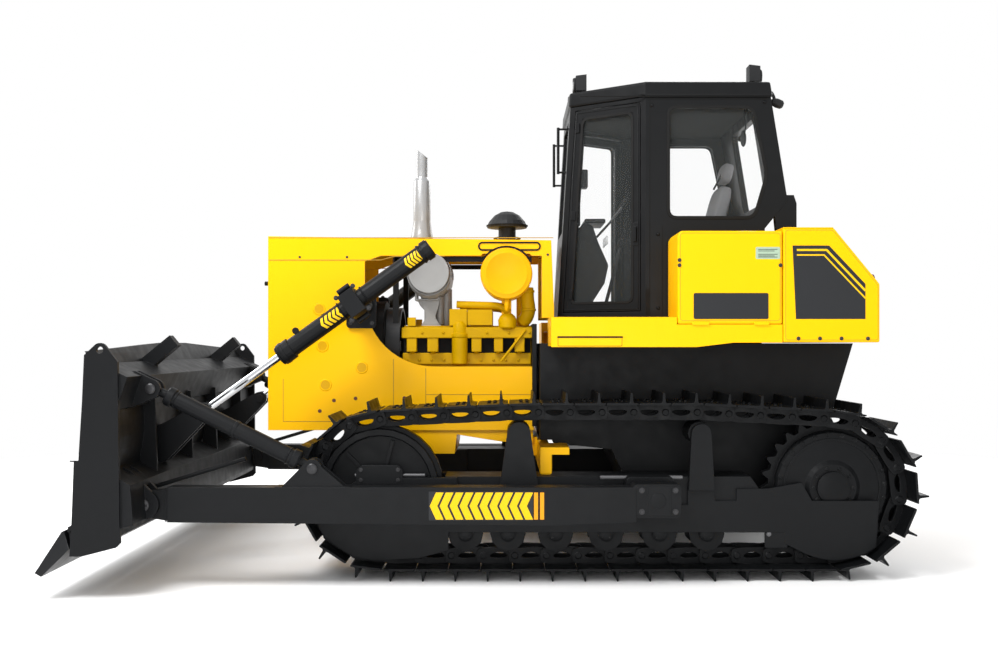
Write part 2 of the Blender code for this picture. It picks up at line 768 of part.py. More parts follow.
def cab_plan(grow=0.0):
    """The cab's six-sided plan, moved out by grow."""
    slant = math.atan2(CAB_HALF - CAB_FRONT_HALF, CAB_CORNER - CAB_FRONT)
    front_half = CAB_FRONT_HALF + grow * (1 / math.cos(slant) - math.tan(slant))
    corner = CAB_CORNER - grow * math.tan(slant / 2)
    half = CAB_HALF + grow
    left = [(CAB_FRONT - grow, -front_half), (corner, -half), (CAB_REAR + grow, -half)]
    return left + [(x, -y) for x, y in reversed(left)]


def lean(piece, grow=0.0):
    """Slices the front and the rear of the cab back to their lean."""
    front_normal = (-(CAB_EAVES - CAB_FLOOR), 0, FRONT_LEAN)
    piece = sliced(piece, (CAB_FRONT - grow, 0, CAB_FLOOR), front_normal)
    rear_normal = (CAB_TOP - CAB_KNEE, 0, REAR_LEAN)
    piece = sliced(piece, (CAB_REAR + grow, 0, CAB_KNEE), rear_normal)
    foot, knee, far = CAB_FOOT + grow, CAB_REAR + grow, CAB_REAR + 0.30
    below = [(foot, 1.60), (foot, CAB_STEP), (knee, CAB_KNEE), (far, CAB_KNEE), (far, 1.60)]
    return fused([piece], [slab([below], -1, 1)], "MANIFOLD")


def door_plane(side):
    """The matrix of the door's outer face: +X runs forward from the corner pillar, +Y runs up
    and +Z points inboard on the left and outboard on the right."""
    along = Vector((CAB_FRONT - CAB_CORNER, -side * (CAB_HALF - CAB_FRONT_HALF), 0)).normalized()
    up = Vector((0, 0, 1))
    place = Matrix.Identity(4)
    for column, axis in enumerate((along, up, along.cross(up))):
        place.col[column][:3] = axis
    place.col[3][:3] = (CAB_CORNER, side * CAB_HALF, 0)
    return place


def door_outline(shrink=0.0):
    """The door's outline on its plane, with its front edge parallel to the leaning front pillar."""
    width = math.hypot(CAB_CORNER - CAB_FRONT, CAB_HALF - CAB_FRONT_HALF)
    lean_share = FRONT_LEAN / (CAB_EAVES - CAB_FLOOR) * width / (CAB_CORNER - CAB_FRONT)
    bottom, top = DOOR_Z[0] + shrink, DOOR_Z[1] - shrink
    rear = DOOR_REAR + shrink
    front = [width - 0.052 - shrink - lean_share * (z - CAB_FLOOR) for z in (bottom, top)]
    return [(rear, bottom), (front[0], bottom), (front[1], top), (rear, top)]


def into_wall(side, depth_in, depth_out=0.0):
    """The stretch across the door plane from depth_in inside the face to depth_out outside it."""
    return sorted((-side * depth_in, side * depth_out))


def cab_frame():
    """The cab's shell: floor, walls and pillars, with the door and window openings cut."""
    tub = lean(slab([cab_plan()], CAB_FLOOR, CAB_EAVES, "XY"))
    room = lean(slab([cab_plan(-CAB_WALL)], CAB_FLOOR + CAB_WALL, CAB_EAVES + 0.05, "XY"), -CAB_WALL)
    tub = fused([tub], [room], "MANIFOLD")
    cutters = []
    for side in (-1, 1):
        cutters.append(slab([door_outline(-DOOR_GAP)], *into_wall(side, 0.09, 0.03), place=door_plane(side)))
        low, high = between(side, CAB_HALF - 0.09, CAB_HALF + 0.02)
        cutters.append(slab([side_window_outline()], low, high))
    cutters.append(slab([rounded(*WINDSCREEN, 0.04)], CAB_FRONT - 0.05, CAB_FRONT + 0.20, "YZ"))
    cutters.append(slab([rounded(*REAR_WINDOW, 0.05)], CAB_REAR - 0.25, CAB_REAR + 0.05, "YZ"))
    ears = []
    for side in (-1, 1):
        low, high = between(side, CAB_HALF - 0.060, CAB_HALF - 0.002)
        ear = [(1.968, 2.386), (1.950, 2.560), (1.985, 2.660), (2.090, 2.660), (2.110, 2.600), (2.110, 2.386)]
        ears.append(slab([ear], low, high))
        ears += grab_rail(side)
    return part(fused([tub, *ears], cutters, "MANIFOLD"), "cab_frame", "black")


def grab_rail(side):
    """An upright bar in front of the front pillar, held off it by two stubs."""
    low, high, x, y = 2.880, 3.230, 0.428, side * 0.345
    found = [rod((x, y, low), (x, y, high), 0.011, 8)]
    for z in (low + 0.012, high - 0.012):
        back = CAB_FRONT + 0.02 + FRONT_LEAN * (z - CAB_FLOOR) / (CAB_EAVES - CAB_FLOOR)
        found.append(rod((x, y, z), (back, y, z), 0.008, 8))
    return found


WINDSCREEN = ((-0.300, 2.440), (0.300, 3.285))  # on the YZ plane, lowest and highest corner
REAR_WINDOW = ((-0.380, 2.665), (0.380, 3.290))


def softened(points, radii, steps=3):
    """An outline with each corner rounded to its radius."""
    found = []
    for before, here, after, radius in zip(points[-1:] + points[:-1], points, points[1:] + points[:1], radii):
        here = Vector(here)
        one, two = (Vector(before) - here).normalized(), (Vector(after) - here).normalized()
        half = one.angle(two) / 2
        centre = here + (one + two).normalized() * radius / math.sin(half)
        start, end = here + one * radius / math.tan(half), here + two * radius / math.tan(half)
        for k in range(steps + 1):
            spoke = (start - centre).lerp(end - centre, k / steps).normalized()
            found.append(tuple(centre + spoke * radius))
    return found


def side_window_outline(shrink=0.0):
    s = shrink
    corners = [
        (1.195 + s, 2.500 + s),
        (1.195 + s, 3.288 - s),
        (1.795 - s, 3.288 - s),
        (1.895 - s, 2.804),
        (1.805 - s, 2.500 + s),
    ]
    return softened(corners, [0.055 - s, 0.055 - s, 0.055 - s, 0.10, 0.055 - s])


def leaning_pane(window, x_at, low_z, high_z):
    """A pane parallel to a leaning wall: x_at gives its middle's X at a height."""
    (left, _), (right, _) = window
    half = GLASS / 2
    profile = [(x_at(z) + s * half, z) for z, s in ((low_z, -1), (low_z, 1), (high_z, 1), (high_z, -1))]
    return slab([profile], left + GAP, right - GAP)


def windscreen():
    def middle(z):
        return CAB_FRONT + CAB_WALL / 2 + FRONT_LEAN * (z - CAB_FLOOR) / (CAB_EAVES - CAB_FLOOR)

    pane = leaning_pane(WINDSCREEN, middle, WINDSCREEN[0][1] + GAP, WINDSCREEN[1][1] - GAP)
    corners = slab([rounded(*WINDSCREEN, 0.0405)], 0.30, 0.70, "YZ")
    return part(common(pane, corners), "windscreen", "glass")


def rear_window():
    def middle(z):
        return CAB_REAR - CAB_WALL / 2 - REAR_LEAN * (z - CAB_KNEE) / (CAB_TOP - CAB_KNEE)

    pane = leaning_pane(REAR_WINDOW, middle, REAR_WINDOW[0][1] + GAP, REAR_WINDOW[1][1] - GAP)
    corners = slab([rounded(*REAR_WINDOW, 0.0505)], 1.70, 2.20, "YZ")
    return part(common(pane, corners), "rear_window", "glass")


def common(piece, keeper):
    """What two pieces share."""
    boolean = piece.modifiers.new("keep", "BOOLEAN")
    boolean.operation = "INTERSECT"
    boolean.solver = "EXACT"
    boolean.object = keeper
    made = baked(piece)
    bpy.data.objects.remove(keeper)
    return made


def side_window(side):
    middle = CAB_HALF - CAB_WALL / 2
    low, high = between(side, middle - GLASS / 2, middle + GLASS / 2)
    return part(slab([side_window_outline(GAP)], low, high), side_name("side_window", side), "glass")


def cab_roof():
    """The flat roof, a little wider than the walls, with its top edges broken."""
    roof = slab([cab_plan(0.014)], CAB_EAVES + GAP, CAB_TOP, "XY")
    roof = lean(roof, 0.014)
    return part(bevelled(roof, 0.018, 2, 50), "cab_roof", "black")


def hinge_point(side):
    """The door hinge's axis, on the outer face just behind the door's rear edge."""
    point = door_plane(side) @ Vector((DOOR_REAR - DOOR_GAP / 2, DOOR_Z[0], 0))
    return tuple(point)


def door(side):
    place = door_plane(side)
    outline = [door_outline(), door_outline(DOOR_RAIL)]
    panel = slab(outline, *into_wall(side, DOOR_THICK), place=place)
    panel = part(panel, side_name("door", side), "black", hinge_point(side))
    pane = slab([door_outline(DOOR_RAIL + GAP)], *into_wall(side, 0.028, -0.020), place=place)
    pane = part(pane, side_name("door_glass", side), "glass", hinge_point(side))
    return carried(side_name("door_hinge", side), hinge_point(side), [panel, pane])


def seat():
    """The operator's seat on its pedestal: cushion, back and headrest."""
    pedestal = box((1.34, -0.18, 1.8305), (1.66, 0.18, 2.17))
    cushion = slab([[(1.20, 2.15), (1.19, 2.24), (1.24, 2.29), (1.66, 2.27), (1.72, 2.15)]], -0.26, 0.26)
    back = slab([[(1.60, 2.20), (1.62, 2.30), (1.69, 2.80), (1.73, 2.86), (1.80, 2.84), (1.78, 2.70), (1.74, 2.20)]], -0.25, 0.25)
    head = slab([[(1.70, 2.83), (1.695, 3.00), (1.73, 3.04), (1.78, 3.03), (1.80, 2.95), (1.78, 2.82)]], -0.13, 0.13)
    return part(fused([pedestal, cushion, back, head]), "seat", "seat")


def console():
    """The instrument column in front of the operator."""
    outline = [
        (0.560, 1.8305),
        (0.575, 2.470),
        (0.640, 2.530),
        (0.700, 2.500),
        (0.740, 2.380),
        (0.820, 2.200),
        (0.790, 2.060),
        (0.700, 1.920),
        (0.700, 1.8305),
    ]
    made = bevelled(slab([outline], -0.235, 0.235), 0.012)
    return part(made, "console", "rubber")


def lamp_pair(name, x, half, z, facing):
    """Two work lamps on one bar across the roof."""
    bar = box((x - 0.012, -half - 0.05, CAB_TOP + GAP), (x + 0.012, half + 0.05, CAB_TOP + 0.022))
    pieces = [bar]
    for side in (-1, 1):
        low, high = between(side, half - 0.055, half + 0.055)
        outline = [(x - 0.040, z), (x - 0.040, z + 0.110), (x + 0.040, z + 0.120), (x + 0.040, z)]
        if facing > 0:
            outline = [(2 * x - px, pz) for px, pz in outline]
        pieces.append(slab([outline], low, high))
        pieces.append(box((x - 0.010, side * half - 0.02, CAB_TOP + 0.01), (x + 0.010, side * half + 0.02, z + 0.01)))
    return part(fused(pieces), name, "rubber")


# --- blade and its linkage ---------------------------------------------------------------------


def moldboard_arc(offset=0.0, steps=16):
    """Points down the moldboard's face from its top edge to its foot, moved back by offset."""
    top, foot = Vector(BLADE_TOP), Vector(BLADE_FOOT)
    chord = (foot - top).length
    radius = (chord * chord / 4 + BLADE_HOLLOW**2) / (2 * BLADE_HOLLOW)
    middle = (top + foot) / 2
    inward = Vector((foot.y - top.y, top.x - foot.x)).normalized()
    centre = middle + inward * (radius - BLADE_HOLLOW)
    first = math.degrees(math.atan2(top.y - centre.y, top.x - centre.x))
    last = math.degrees(math.atan2(foot.y - centre.y, foot.x - centre.x))
    if first < 0:
        first, last = first + 360, last + 360
    return arc(tuple(centre), radius + offset, first, last, steps)


def behind_moldboard(low, high, rear):
    """A beam's outline: down the middle of the moldboard's plate, then round the rear points."""
    front = [p for p in moldboard_arc(MOLDBOARD / 2, 32) if low < p[1] < high]
    return [*front, *rear]


def end_plate_outline():
    """A blade end seen from the side, with the lifting ear on top."""
    return [
        (-2.656, 0.457),
        (-2.640, 0.870),
        (-2.612, 0.872),
        (-2.590, 1.229),
        (-2.577, 1.526),
        *arc((-2.480, 1.557), 0.044, 130, 40, 6),
        (-2.370, 1.483),
        (-2.359, 0.512),
        (-2.355, 0.363),
        (-2.381, 0.335),
        (-2.590, 0.281),
        (-2.668, 0.281),
    ]


def blade():
    """Moldboard, end plates, the two box beams behind it, and every lug that the linkage pins to."""
    half = BLADE_HALF
    face, back = moldboard_arc(), moldboard_arc(MOLDBOARD)
    shell = slab([[*face, *reversed(back)]], -half + 0.010, half - 0.010)
    shell = sliced(shell, (0, -0.669, BLADE_TOP[1]), (0, -0.044, 1.193))
    shell = sliced(shell, (0, 0.669, BLADE_TOP[1]), (0, 0.044, 1.193))
    pieces = [shell]
    for side in (-1, 1):
        low, high = between(side, half - 0.028, half)
        hole = rod((-2.480, low - 0.01, 1.557), (-2.480, high + 0.01, 1.557), 0.022, 16)
        pieces.append(fused([slab([end_plate_outline()], low, high)], [hole]))
    upper = behind_moldboard(1.160, 1.480, [(-2.385, 1.190), (-2.317, 1.390), (-2.500, 1.475)])
    lower = behind_moldboard(0.400, 0.810, [(-2.360, 0.452), (-2.280, 0.470), (-2.300, 0.720)])
    pieces.append(slab([upper], -half + 0.020, half - 0.020))
    pieces.append(slab([lower], -half + 0.020, half - 0.020))
    sole = [(-2.686, 0.460), (-2.364, 0.463), (-2.370, 0.400), (-2.600, 0.330), (-2.664, 0.330)]
    pieces.append(slab([sole], -half + 0.020, half - 0.020))
    for side in (-1, 1):
        for y in (0.35, 1.20):
            rib = [(-2.448, 0.78), (-2.330, 0.70), (-2.345, 1.24), (-2.448, 1.25)]
            low, high = between(side, y - 0.01, y + 0.01)
            pieces.append(slab([rib], low, high))
        pieces += lift_lugs(side) + arm_lugs(side) + brace_lugs(side)
        low, high = between(side, LIFT_Y - 0.045, LIFT_Y + 0.045)
        strut = [(-2.555, 1.470), (-2.330, 1.655), (-2.272, 1.585), (-2.480, 1.412)]
        pieces.append(slab([strut], low, high))
    pockets = []
    for side in (-1, 1):
        low, high = between(side, sum(ARM_Y) / 2 - 0.0465, sum(ARM_Y) / 2 + 0.0465)
        pockets.append(box((-2.405, low, 0.440), (-2.200, high, 0.680)))
    return part(fused(pieces, pockets), "blade", "black", (ARM_PIVOT[0], 0, ARM_PIVOT[1]))


def lift_lugs(side):
    """Two plates that hold the lift rod's eye, with a boss outside each."""
    x, z = LIFT_PIN
    outline = [(-2.440, 1.010), (-2.350, 1.050), *arc((x, z), 0.058, 115, -45, 8), (-2.340, 0.785), (-2.440, 0.740)]
    found = []
    for hand in (-1, 1):
        low, high = sorted((side * LIFT_Y + hand * 0.036, side * LIFT_Y + hand * 0.060))
        found.append(slab([outline], low, high))
        outer = side * LIFT_Y + hand * 0.072
        found.append(rod((x, side * LIFT_Y + hand * 0.050, z), (x, outer, z), 0.034, 20))
    return found


def arm_lugs(side):
    """Two plates that hold the push arm's tongue."""
    x, z = ARM_PIN
    middle = sum(ARM_Y) / 2
    outline = [(-2.430, 0.800), (-2.385, 0.779), *arc((x, z), 0.098, 52, -62, 8), (-2.420, 0.447)]
    found = []
    for hand in (-1, 1):
        low, high = sorted((side * middle + hand * 0.047, side * middle + hand * 0.075))
        found.append(slab([outline], low, high))
        outer = side * middle + hand * 0.086
        found.append(rod((x, side * middle + hand * 0.060, z), (x, outer, z), 0.032, 20))
    return found


def brace_lugs(side):
    """Two plates near the top that hold the brace."""
    x, z = BRACE_TOP
    middle = sum(ARM_Y) / 2
    outline = [(-2.470, 1.420), (-2.360, 1.420), *arc((x, z), 0.062, 75, -80, 8), (-2.420, 1.175)]
    found = []
    for hand in (-1, 1):
        low, high = sorted((side * middle + hand * 0.032, side * middle + hand * 0.056))
        found.append(slab([outline], low, high))
    return found


def cutting_edge():
    """The bolted steel edge along the blade's foot."""
    outline = [(-2.7165, 0.432), (-2.882, 0.178), (-2.842, 0.155), (-2.6695, 0.325), (-2.702, 0.440)]
    made = slab([outline], -BLADE_HALF, BLADE_HALF)
    return part(made, "cutting_edge", "steel", (ARM_PIVOT[0], 0, ARM_PIVOT[1]))


def push_arm(side):
    """A box arm: tongue and pin at the blade, a lug for the brace, and a socket at the rear."""
    inner, outer = ARM_Y
    middle = (inner + outer) / 2
    low, high = between(side, inner, outer)
    beam = slab([[(-2.150, ARM_Z[0]), (-2.150, ARM_Z[1]), (0.870, ARM_Z[1]), (0.870, ARM_Z[0]), (0.30, 0.425)]], low, high)
    low, high = between(side, middle - 0.045, middle + 0.045)
    x, z = ARM_PIN
    tongue = slab([[(-2.140, 0.450), (-2.140, 0.667), (-2.215, 0.650), *arc((x, z), 0.084, 90, 270, 8), (-2.215, 0.462)]], low, high)
    low, high = between(side, 1.400, outer - 0.004)
    x, z = ARM_PIVOT
    cap = slab([rounded((x - 0.150, z - 0.112), (x + 0.165, z + 0.105), 0.03)], low, high)
    lugs = []
    x, z = BRACE_FOOT
    outline = [(-1.430, 0.660), (-1.290, 0.800), *arc((x, z), 0.062, 140, 10, 8), (-1.040, 0.700), (-1.000, 0.660)]
    for hand in (-1, 1):
        low, high = sorted((side * middle + hand * 0.032, side * middle + hand * 0.056))
        lugs.append(slab([outline], low, high))
    socket = rod((ARM_PIVOT[0], side * 1.35, ARM_PIVOT[1]), (ARM_PIVOT[0], side * 1.4770, ARM_PIVOT[1]), 0.0780)
    made = fused([beam, tongue, cap, *lugs], [socket])
    return part(made, side_name("push_arm", side), "black", (ARM_PIVOT[0], 0, ARM_PIVOT[1]))


def brace(side):
    """The strut from the blade's shoulder down to the push arm, with its screw ends."""
    y = side * sum(ARM_Y) / 2
    top, foot = Vector((BRACE_TOP[0], y, BRACE_TOP[1])), Vector((BRACE_FOOT[0], y, BRACE_FOOT[1]))
    along = (foot - top).normalized()
    tube = rod(top + along * 0.10, foot - along * 0.10, 0.055)
    eyes = []
    for centre, hand in ((top, 1), (foot, -1)):
        eyes.append(rod(centre - Vector((0, 0.0305, 0)), centre + Vector((0, 0.0305, 0)), 0.050, 20))
        eyes.append(rod(centre + along * hand * 0.03, centre + along * hand * 0.12, 0.029))
    made = fused([tube, *eyes])
    return part(made, side_name("brace", side), "black", (ARM_PIVOT[0], 0, ARM_PIVOT[1]))


def lift_axis(side):
    """The trunnion's centre, the rod eye's centre and the unit vector between them."""
    trunnion = Vector((TRUNNION[0], side * LIFT_Y, TRUNNION[1]))
    eye = Vector((LIFT_PIN[0], side * LIFT_Y, LIFT_PIN[1]))
    return trunnion, eye, (eye - trunnion).normalized()


def cylinder_bracket(side):
    """The bearing on the bay's side that the lift cylinder's yoke turns in."""
    x, z = TRUNNION
    low, high = between(side, BAY_Y + 0.005, BAY_Y + 0.032)
    pad = slab([rounded((x - 0.11, z - 0.17), (x + 0.11, z + 0.10), 0.03)], low, high)
    ring = rod((x, side * (BAY_Y + 0.005), z), (x, side * 0.700, z), 0.090, 20)
    bore = rod((x, side * 0.560, z), (x, side * 0.720, z), 0.0515)
    return part(fused([pad, ring], [bore]), side_name("cylinder_bracket", side), "black")


def lift_barrel(side):
    """The cylinder's tube with its gland, and the yoke that carries it on a trunnion."""
    trunnion, _, along = lift_axis(side)
    tube = rod(trunnion - along * BARREL_BACK, trunnion + along * BARREL_FRONT, BARREL_R, 20)
    gland = rod(trunnion + along * (BARREL_FRONT - 0.10), trunnion + along * (BARREL_FRONT - 0.01), 0.078, 20)
    cap = rod(trunnion - along * (BARREL_BACK - 0.01), trunnion - along * (BARREL_BACK - 0.06), 0.074, 20)
    place = pointing(trunnion, trunnion + along)
    yoke = box((-0.090, -0.120, -0.060), (0.090, 0.120, 0.060))
    yoke.data.transform(place @ Matrix.Rotation(math.radians(90), 4, "Z"))
    yoke.data.transform(Matrix.Identity(4))
    pin = rod(trunnion + Vector((0, -side * 0.05, 0)), (trunnion.x, side * 0.565, trunnion.z), 0.045)
    bore = rod(trunnion - along * (BARREL_BACK - 0.05), trunnion + along * (BARREL_FRONT + 0.05), BORE_R)
    made = fused([tube, gland, cap, yoke, pin], [bore])
    return part(made, side_name("lift_barrel", side), "black", tuple(trunnion))


def lift_rod(side):
    """The plated rod with the eye that sits between the blade's lugs."""
    trunnion, eye, along = lift_axis(side)
    shaft = rod(trunnion + along * 0.10, eye - along * 0.03, ROD_R)
    ring = rod(eye - Vector((0, 0.030, 0)), eye + Vector((0, 0.030, 0)), 0.052)
    made = fused([shaft, ring])
    return part(made, side_name("lift_rod", side), "chrome", tuple(trunnion))


def build_lift():
    pieces = [blade(), cutting_edge()]
    for side in (-1, 1):
        pieces += [push_arm(side), brace(side)]
        barrel, piston = lift_barrel(side), lift_rod(side)
        trunnion = tuple(lift_axis(side)[0])
        swing = carried(side_name("lift_trunnion", side), trunnion, [barrel])
        carried(side_name("lift_slide", side), trunnion, [piston], swing)
    carried("blade_lift", (ARM_PIVOT[0], 0, ARM_PIVOT[1]), pieces)


def clear_scene():
    for existing in list(bpy.data.objects):
        bpy.data.objects.remove(existing)
    made = bpy.data.collections.new("bulldozer")
    bpy.context.scene.collection.children.link(made)
    return made


def build():
    main_frame()
    rear_case()
    drawbar()
    engine_block()
    radiator()
    radiator_guard()
    grille()
    hood()
    muffler()
    exhaust_stack()
    air_cleaner()
    precleaner()
    for side in (-1, 1):
        track(side)
        track_frame(side)
        roller_bank(side)
        idler(side)
        sprocket(side)
        side_panel(side)
        platform(side)
        side_box(side)
        side_window(side)
        door(side)
        cylinder_bracket(side)
    fuel_tank()
    cab_frame()
    cab_roof()
    windscreen()
    rear_window()
    seat()
    console()
    lamp_pair("front_lamps", 0.600, 0.330, CAB_TOP + 0.035, -1)
    lamp_pair("rear_lamps", 1.845, 0.600, CAB_TOP + 0.040, 1)
    build_lift()


PARTS = clear_scene()
MATERIALS = make_materials()
build()
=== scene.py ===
"""Bulldozer: the finished look of a crawler tractor with a straight blade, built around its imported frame."""

import math

import bpy
import numpy as np
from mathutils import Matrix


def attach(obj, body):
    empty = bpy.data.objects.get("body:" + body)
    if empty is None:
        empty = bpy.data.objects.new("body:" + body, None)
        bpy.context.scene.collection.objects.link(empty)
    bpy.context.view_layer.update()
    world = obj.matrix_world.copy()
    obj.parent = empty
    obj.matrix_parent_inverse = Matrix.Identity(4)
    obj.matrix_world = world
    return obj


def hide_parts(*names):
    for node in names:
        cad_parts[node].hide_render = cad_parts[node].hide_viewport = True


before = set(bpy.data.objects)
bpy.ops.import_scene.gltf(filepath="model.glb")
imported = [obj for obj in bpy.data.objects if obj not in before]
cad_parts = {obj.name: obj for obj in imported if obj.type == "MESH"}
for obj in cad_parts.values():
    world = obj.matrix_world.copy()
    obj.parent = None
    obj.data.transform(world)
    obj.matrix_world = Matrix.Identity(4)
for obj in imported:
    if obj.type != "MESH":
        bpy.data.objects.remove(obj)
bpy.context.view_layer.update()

bl_info = {
    "name": "Bulldozer",
    "version": (1, 0, 0),
    "blender": (4, 5, 0),
    "location": "View3D > Sidebar > Bulldozer",
    "description": "Builds the pieces and finishes of a crawler bulldozer with a straight blade",
    "category": "Object",
}

SIDES = (("left", -1), ("right", 1))
ROOT = "machine"

# How far the outer faces stand from the machine's middle
HOOD_FACE, CAB_FACE, BOX_FACE, ARM_FACE = 0.4545, 0.8, 1.252, 1.58

# --- shapes ------------------------------------------------------------------------------------


def solid(rings, capped=True):
    """A closed skin. Ring i, point j is joined to its neighbours j + 1 and i + 1 by one face; the
    first and last rings get a flat end, or are joined to each other. The faces are turned round
    where the sum of a . (b x c) over the triangles a, b, c is negative."""
    rings = np.asarray(rings, float)
    count, around = rings.shape[:2]
    index = np.arange(count * around).reshape(count, around)
    rows = index if capped else np.vstack([index, index[:1]])
    here, there = rows[:-1], rows[1:]
    quads = np.stack([here, np.roll(here, -1, 1), np.roll(there, -1, 1), there], -1).reshape(-1, 4)
    triangles = [quads[:, [0, 1, 2]], quads[:, [0, 2, 3]]]
    faces = quads.tolist()
    if capped:
        for end in (index[0, ::-1], index[-1]):
            faces.append(end.tolist())
            triangles.append(np.stack([np.full(around - 2, end[0]), end[1:-1], end[2:]], -1))
    points = rings.reshape(-1, 3)
    a, b, c = np.moveaxis(points[np.vstack(triangles)], 1, 0)
    if np.einsum("ij,ij->i", a - points[0], np.cross(b - points[0], c - points[0])).sum() < 0:
        faces = [face[::-1] for face in faces]
    return points, faces


def side_plane(along, height, depth):
    """Places (along, height, depth) as x, z and y."""
    return np.stack(np.broadcast_arrays(along, depth, height), -1)


def front_plane(along, height, depth):
    """Places (along, height, depth) as y, z and x."""
    return np.stack(np.broadcast_arrays(depth, along, height), -1)


def floor_plane(along, height, depth):
    """Places (along, height, depth) as x, y and z."""
    return np.stack(np.broadcast_arrays(along, height, depth), -1)


def prism(outline, low, high, plane=side_plane):
    """A flat outline carried straight from depth low to depth high."""
    u, v = np.asarray(outline, float).T
    return solid([plane(u, v, low), plane(u, v, high)])


def block(low, high):
    """A box between two corners."""
    (x0, y0, z0), (x1, y1, z1) = low, high
    return prism([(x0, z0), (x1, z0), (x1, z1), (x0, z1)], y0, y1)


def hollow(outer, inner, low, high, plane=side_plane):
    """The wall between two outlines of the same number of points, from depth low to depth high."""
    (a, b), (c, d) = np.asarray(outer, float).T, np.asarray(inner, float).T
    return solid([plane(a, b, low), plane(a, b, high), plane(c, d, high), plane(c, d, low)], capped=False)


def grown(outline, distance):
    """A closed outline moved outwards: each corner goes along (m + n) / (1 + m . n), where m and n
    are the outward normals of its two edges."""
    points = np.asarray(outline, float)
    edge = np.roll(points, -1, 0) - points
    normal = np.stack([edge[:, 1], -edge[:, 0]], -1) / np.linalg.norm(edge, axis=1)[:, None]
    x, y = points.T
    if (x * np.roll(y, -1) - np.roll(x, -1) * y).sum() < 0:
        normal = -normal
    before = np.roll(normal, 1, 0)
    return points + distance * (before + normal) / (1 + (before * normal).sum(1))[:, None]


def strip(path, width):
    """The outline of a band of even width along an open line, with mitred corners."""
    points = np.asarray(path, float)
    edge = np.diff(points, axis=0)
    normal = np.stack([edge[:, 1], -edge[:, 0]], -1) / np.linalg.norm(edge, axis=1)[:, None]
    first, second = np.vstack([normal[:1], normal]), np.vstack([normal, normal[-1:]])
    reach = (first + second) / (1 + (first * second).sum(1))[:, None] * width / 2
    return np.vstack([points + reach, (points - reach)[::-1]])


def circle(centre, radius, count=24, start=0.0):
    """centre + radius (cos t, sin t) at even steps of t."""
    t = math.radians(start) + np.linspace(0, 2 * math.pi, count, endpoint=False)
    return np.asarray(centre, float) + radius * np.stack([np.cos(t), np.sin(t)], -1)


def tyre(centre, outer, inner, low, high, count, plane=side_plane):
    """A round band between two radii, from depth low to depth high."""
    return hollow(circle(centre, outer, count), circle(centre, inner, count), low, high, plane)


def rounded(low, high, radius, steps=4):
    """A rectangle whose corners are quarter circles."""
    (x0, y0), (x1, y1) = low, high
    t = np.linspace(0, math.pi / 2, steps + 1)
    corners = ((x1, y1, 1, 1, 0), (x0, y1, -1, 1, 1), (x0, y0, -1, -1, 2), (x1, y0, 1, -1, 3))
    arcs = []
    for x, y, right, up, quarter in corners:
        turn = t + quarter * math.pi / 2
        middle = (x - right * radius, y - up * radius)
        arcs.append(np.asarray(middle) + radius * np.stack([np.cos(turn), np.sin(turn)], -1))
    return np.vstack(arcs)


def softened(outline, radius, steps=4):
    """An outline whose corners become curves (1-t)^2 a + 2t(1-t) p + t^2 b, where a and b lie on the
    two edges, a radius away from the corner p."""
    points = np.asarray(outline, float)
    before, after = np.roll(points, 1, 0) - points, np.roll(points, -1, 0) - points
    a = points + before / np.linalg.norm(before, axis=1)[:, None] * radius
    b = points + after / np.linalg.norm(after, axis=1)[:, None] * radius
    t = np.linspace(0, 1, steps + 1)[None, :, None]
    curve = (1 - t) ** 2 * a[:, None] + 2 * t * (1 - t) * points[:, None] + t**2 * b[:, None]
    return curve.reshape(-1, 2)


def turned(profile, start, end, sides=24):
    """(along, radius) pairs turned round the line from start towards end: the ring of a pair is
    start + along w + radius (cos t u + sin t v), with u, v and w square to each other."""
    start, end = np.asarray(start, float), np.asarray(end, float)
    w = (end - start) / np.linalg.norm(end - start)
    u = np.cross(w, (0, 0, 1) if abs(w[2]) < 0.9 else (1, 0, 0))
    u /= np.linalg.norm(u)
    v = np.cross(w, u)
    t = np.linspace(0, 2 * math.pi, sides, endpoint=False)
    spokes = np.cos(t)[:, None] * u + np.sin(t)[:, None] * v
    along, radius = np.asarray(profile, float).T
    return solid(start + along[:, None, None] * w + radius[:, None, None] * spokes)


UP, BACK = (0, 0, 1), (1, 0, 0)


def stud(profile, foot, sides=24, way=(0, 1, 0)):
    """(along, radius) pairs turned round the line that leaves foot in one direction."""
    return turned(profile, foot, np.add(foot, way), sides)


def collar(radius, length, cut):
    """The profile of a round bar with chamfered ends."""
    return [(0, radius - cut), (cut, radius), (length - cut, radius), (length, radius - cut)]


def rod(start, end, radius, sides=12):
    """A round bar between two points, with its ends chamfered."""
    length = float(np.linalg.norm(np.asarray(end, float) - np.asarray(start, float)))
    cut = min(0.15 * radius, length / 4)
    return turned(collar(radius, length, cut), start, end, sides)


def curved(points, steps=6):
    """A smooth line through points: the cubic whose slope at a point is half of what lies between
    its neighbours."""
    points = np.asarray(points, float)
    padded = np.vstack([2 * points[0] - points[1], points, 2 * points[-1] - points[-2]])
    a, b, c, d = padded[:-3], padded[1:-2], padded[2:-1], padded[3:]
    t = np.linspace(0, 1, steps, endpoint=False)[None, :, None]
    a, b, c, d = (p[:, None] for p in (a, b, c, d))
    line = b + 0.5 * t * (c - a + t * (2 * a - 5 * b + 4 * c - d + t * (3 * (b - c) + d - a)))
    return np.vstack([line.reshape(-1, points.shape[1]), points[-1:]])


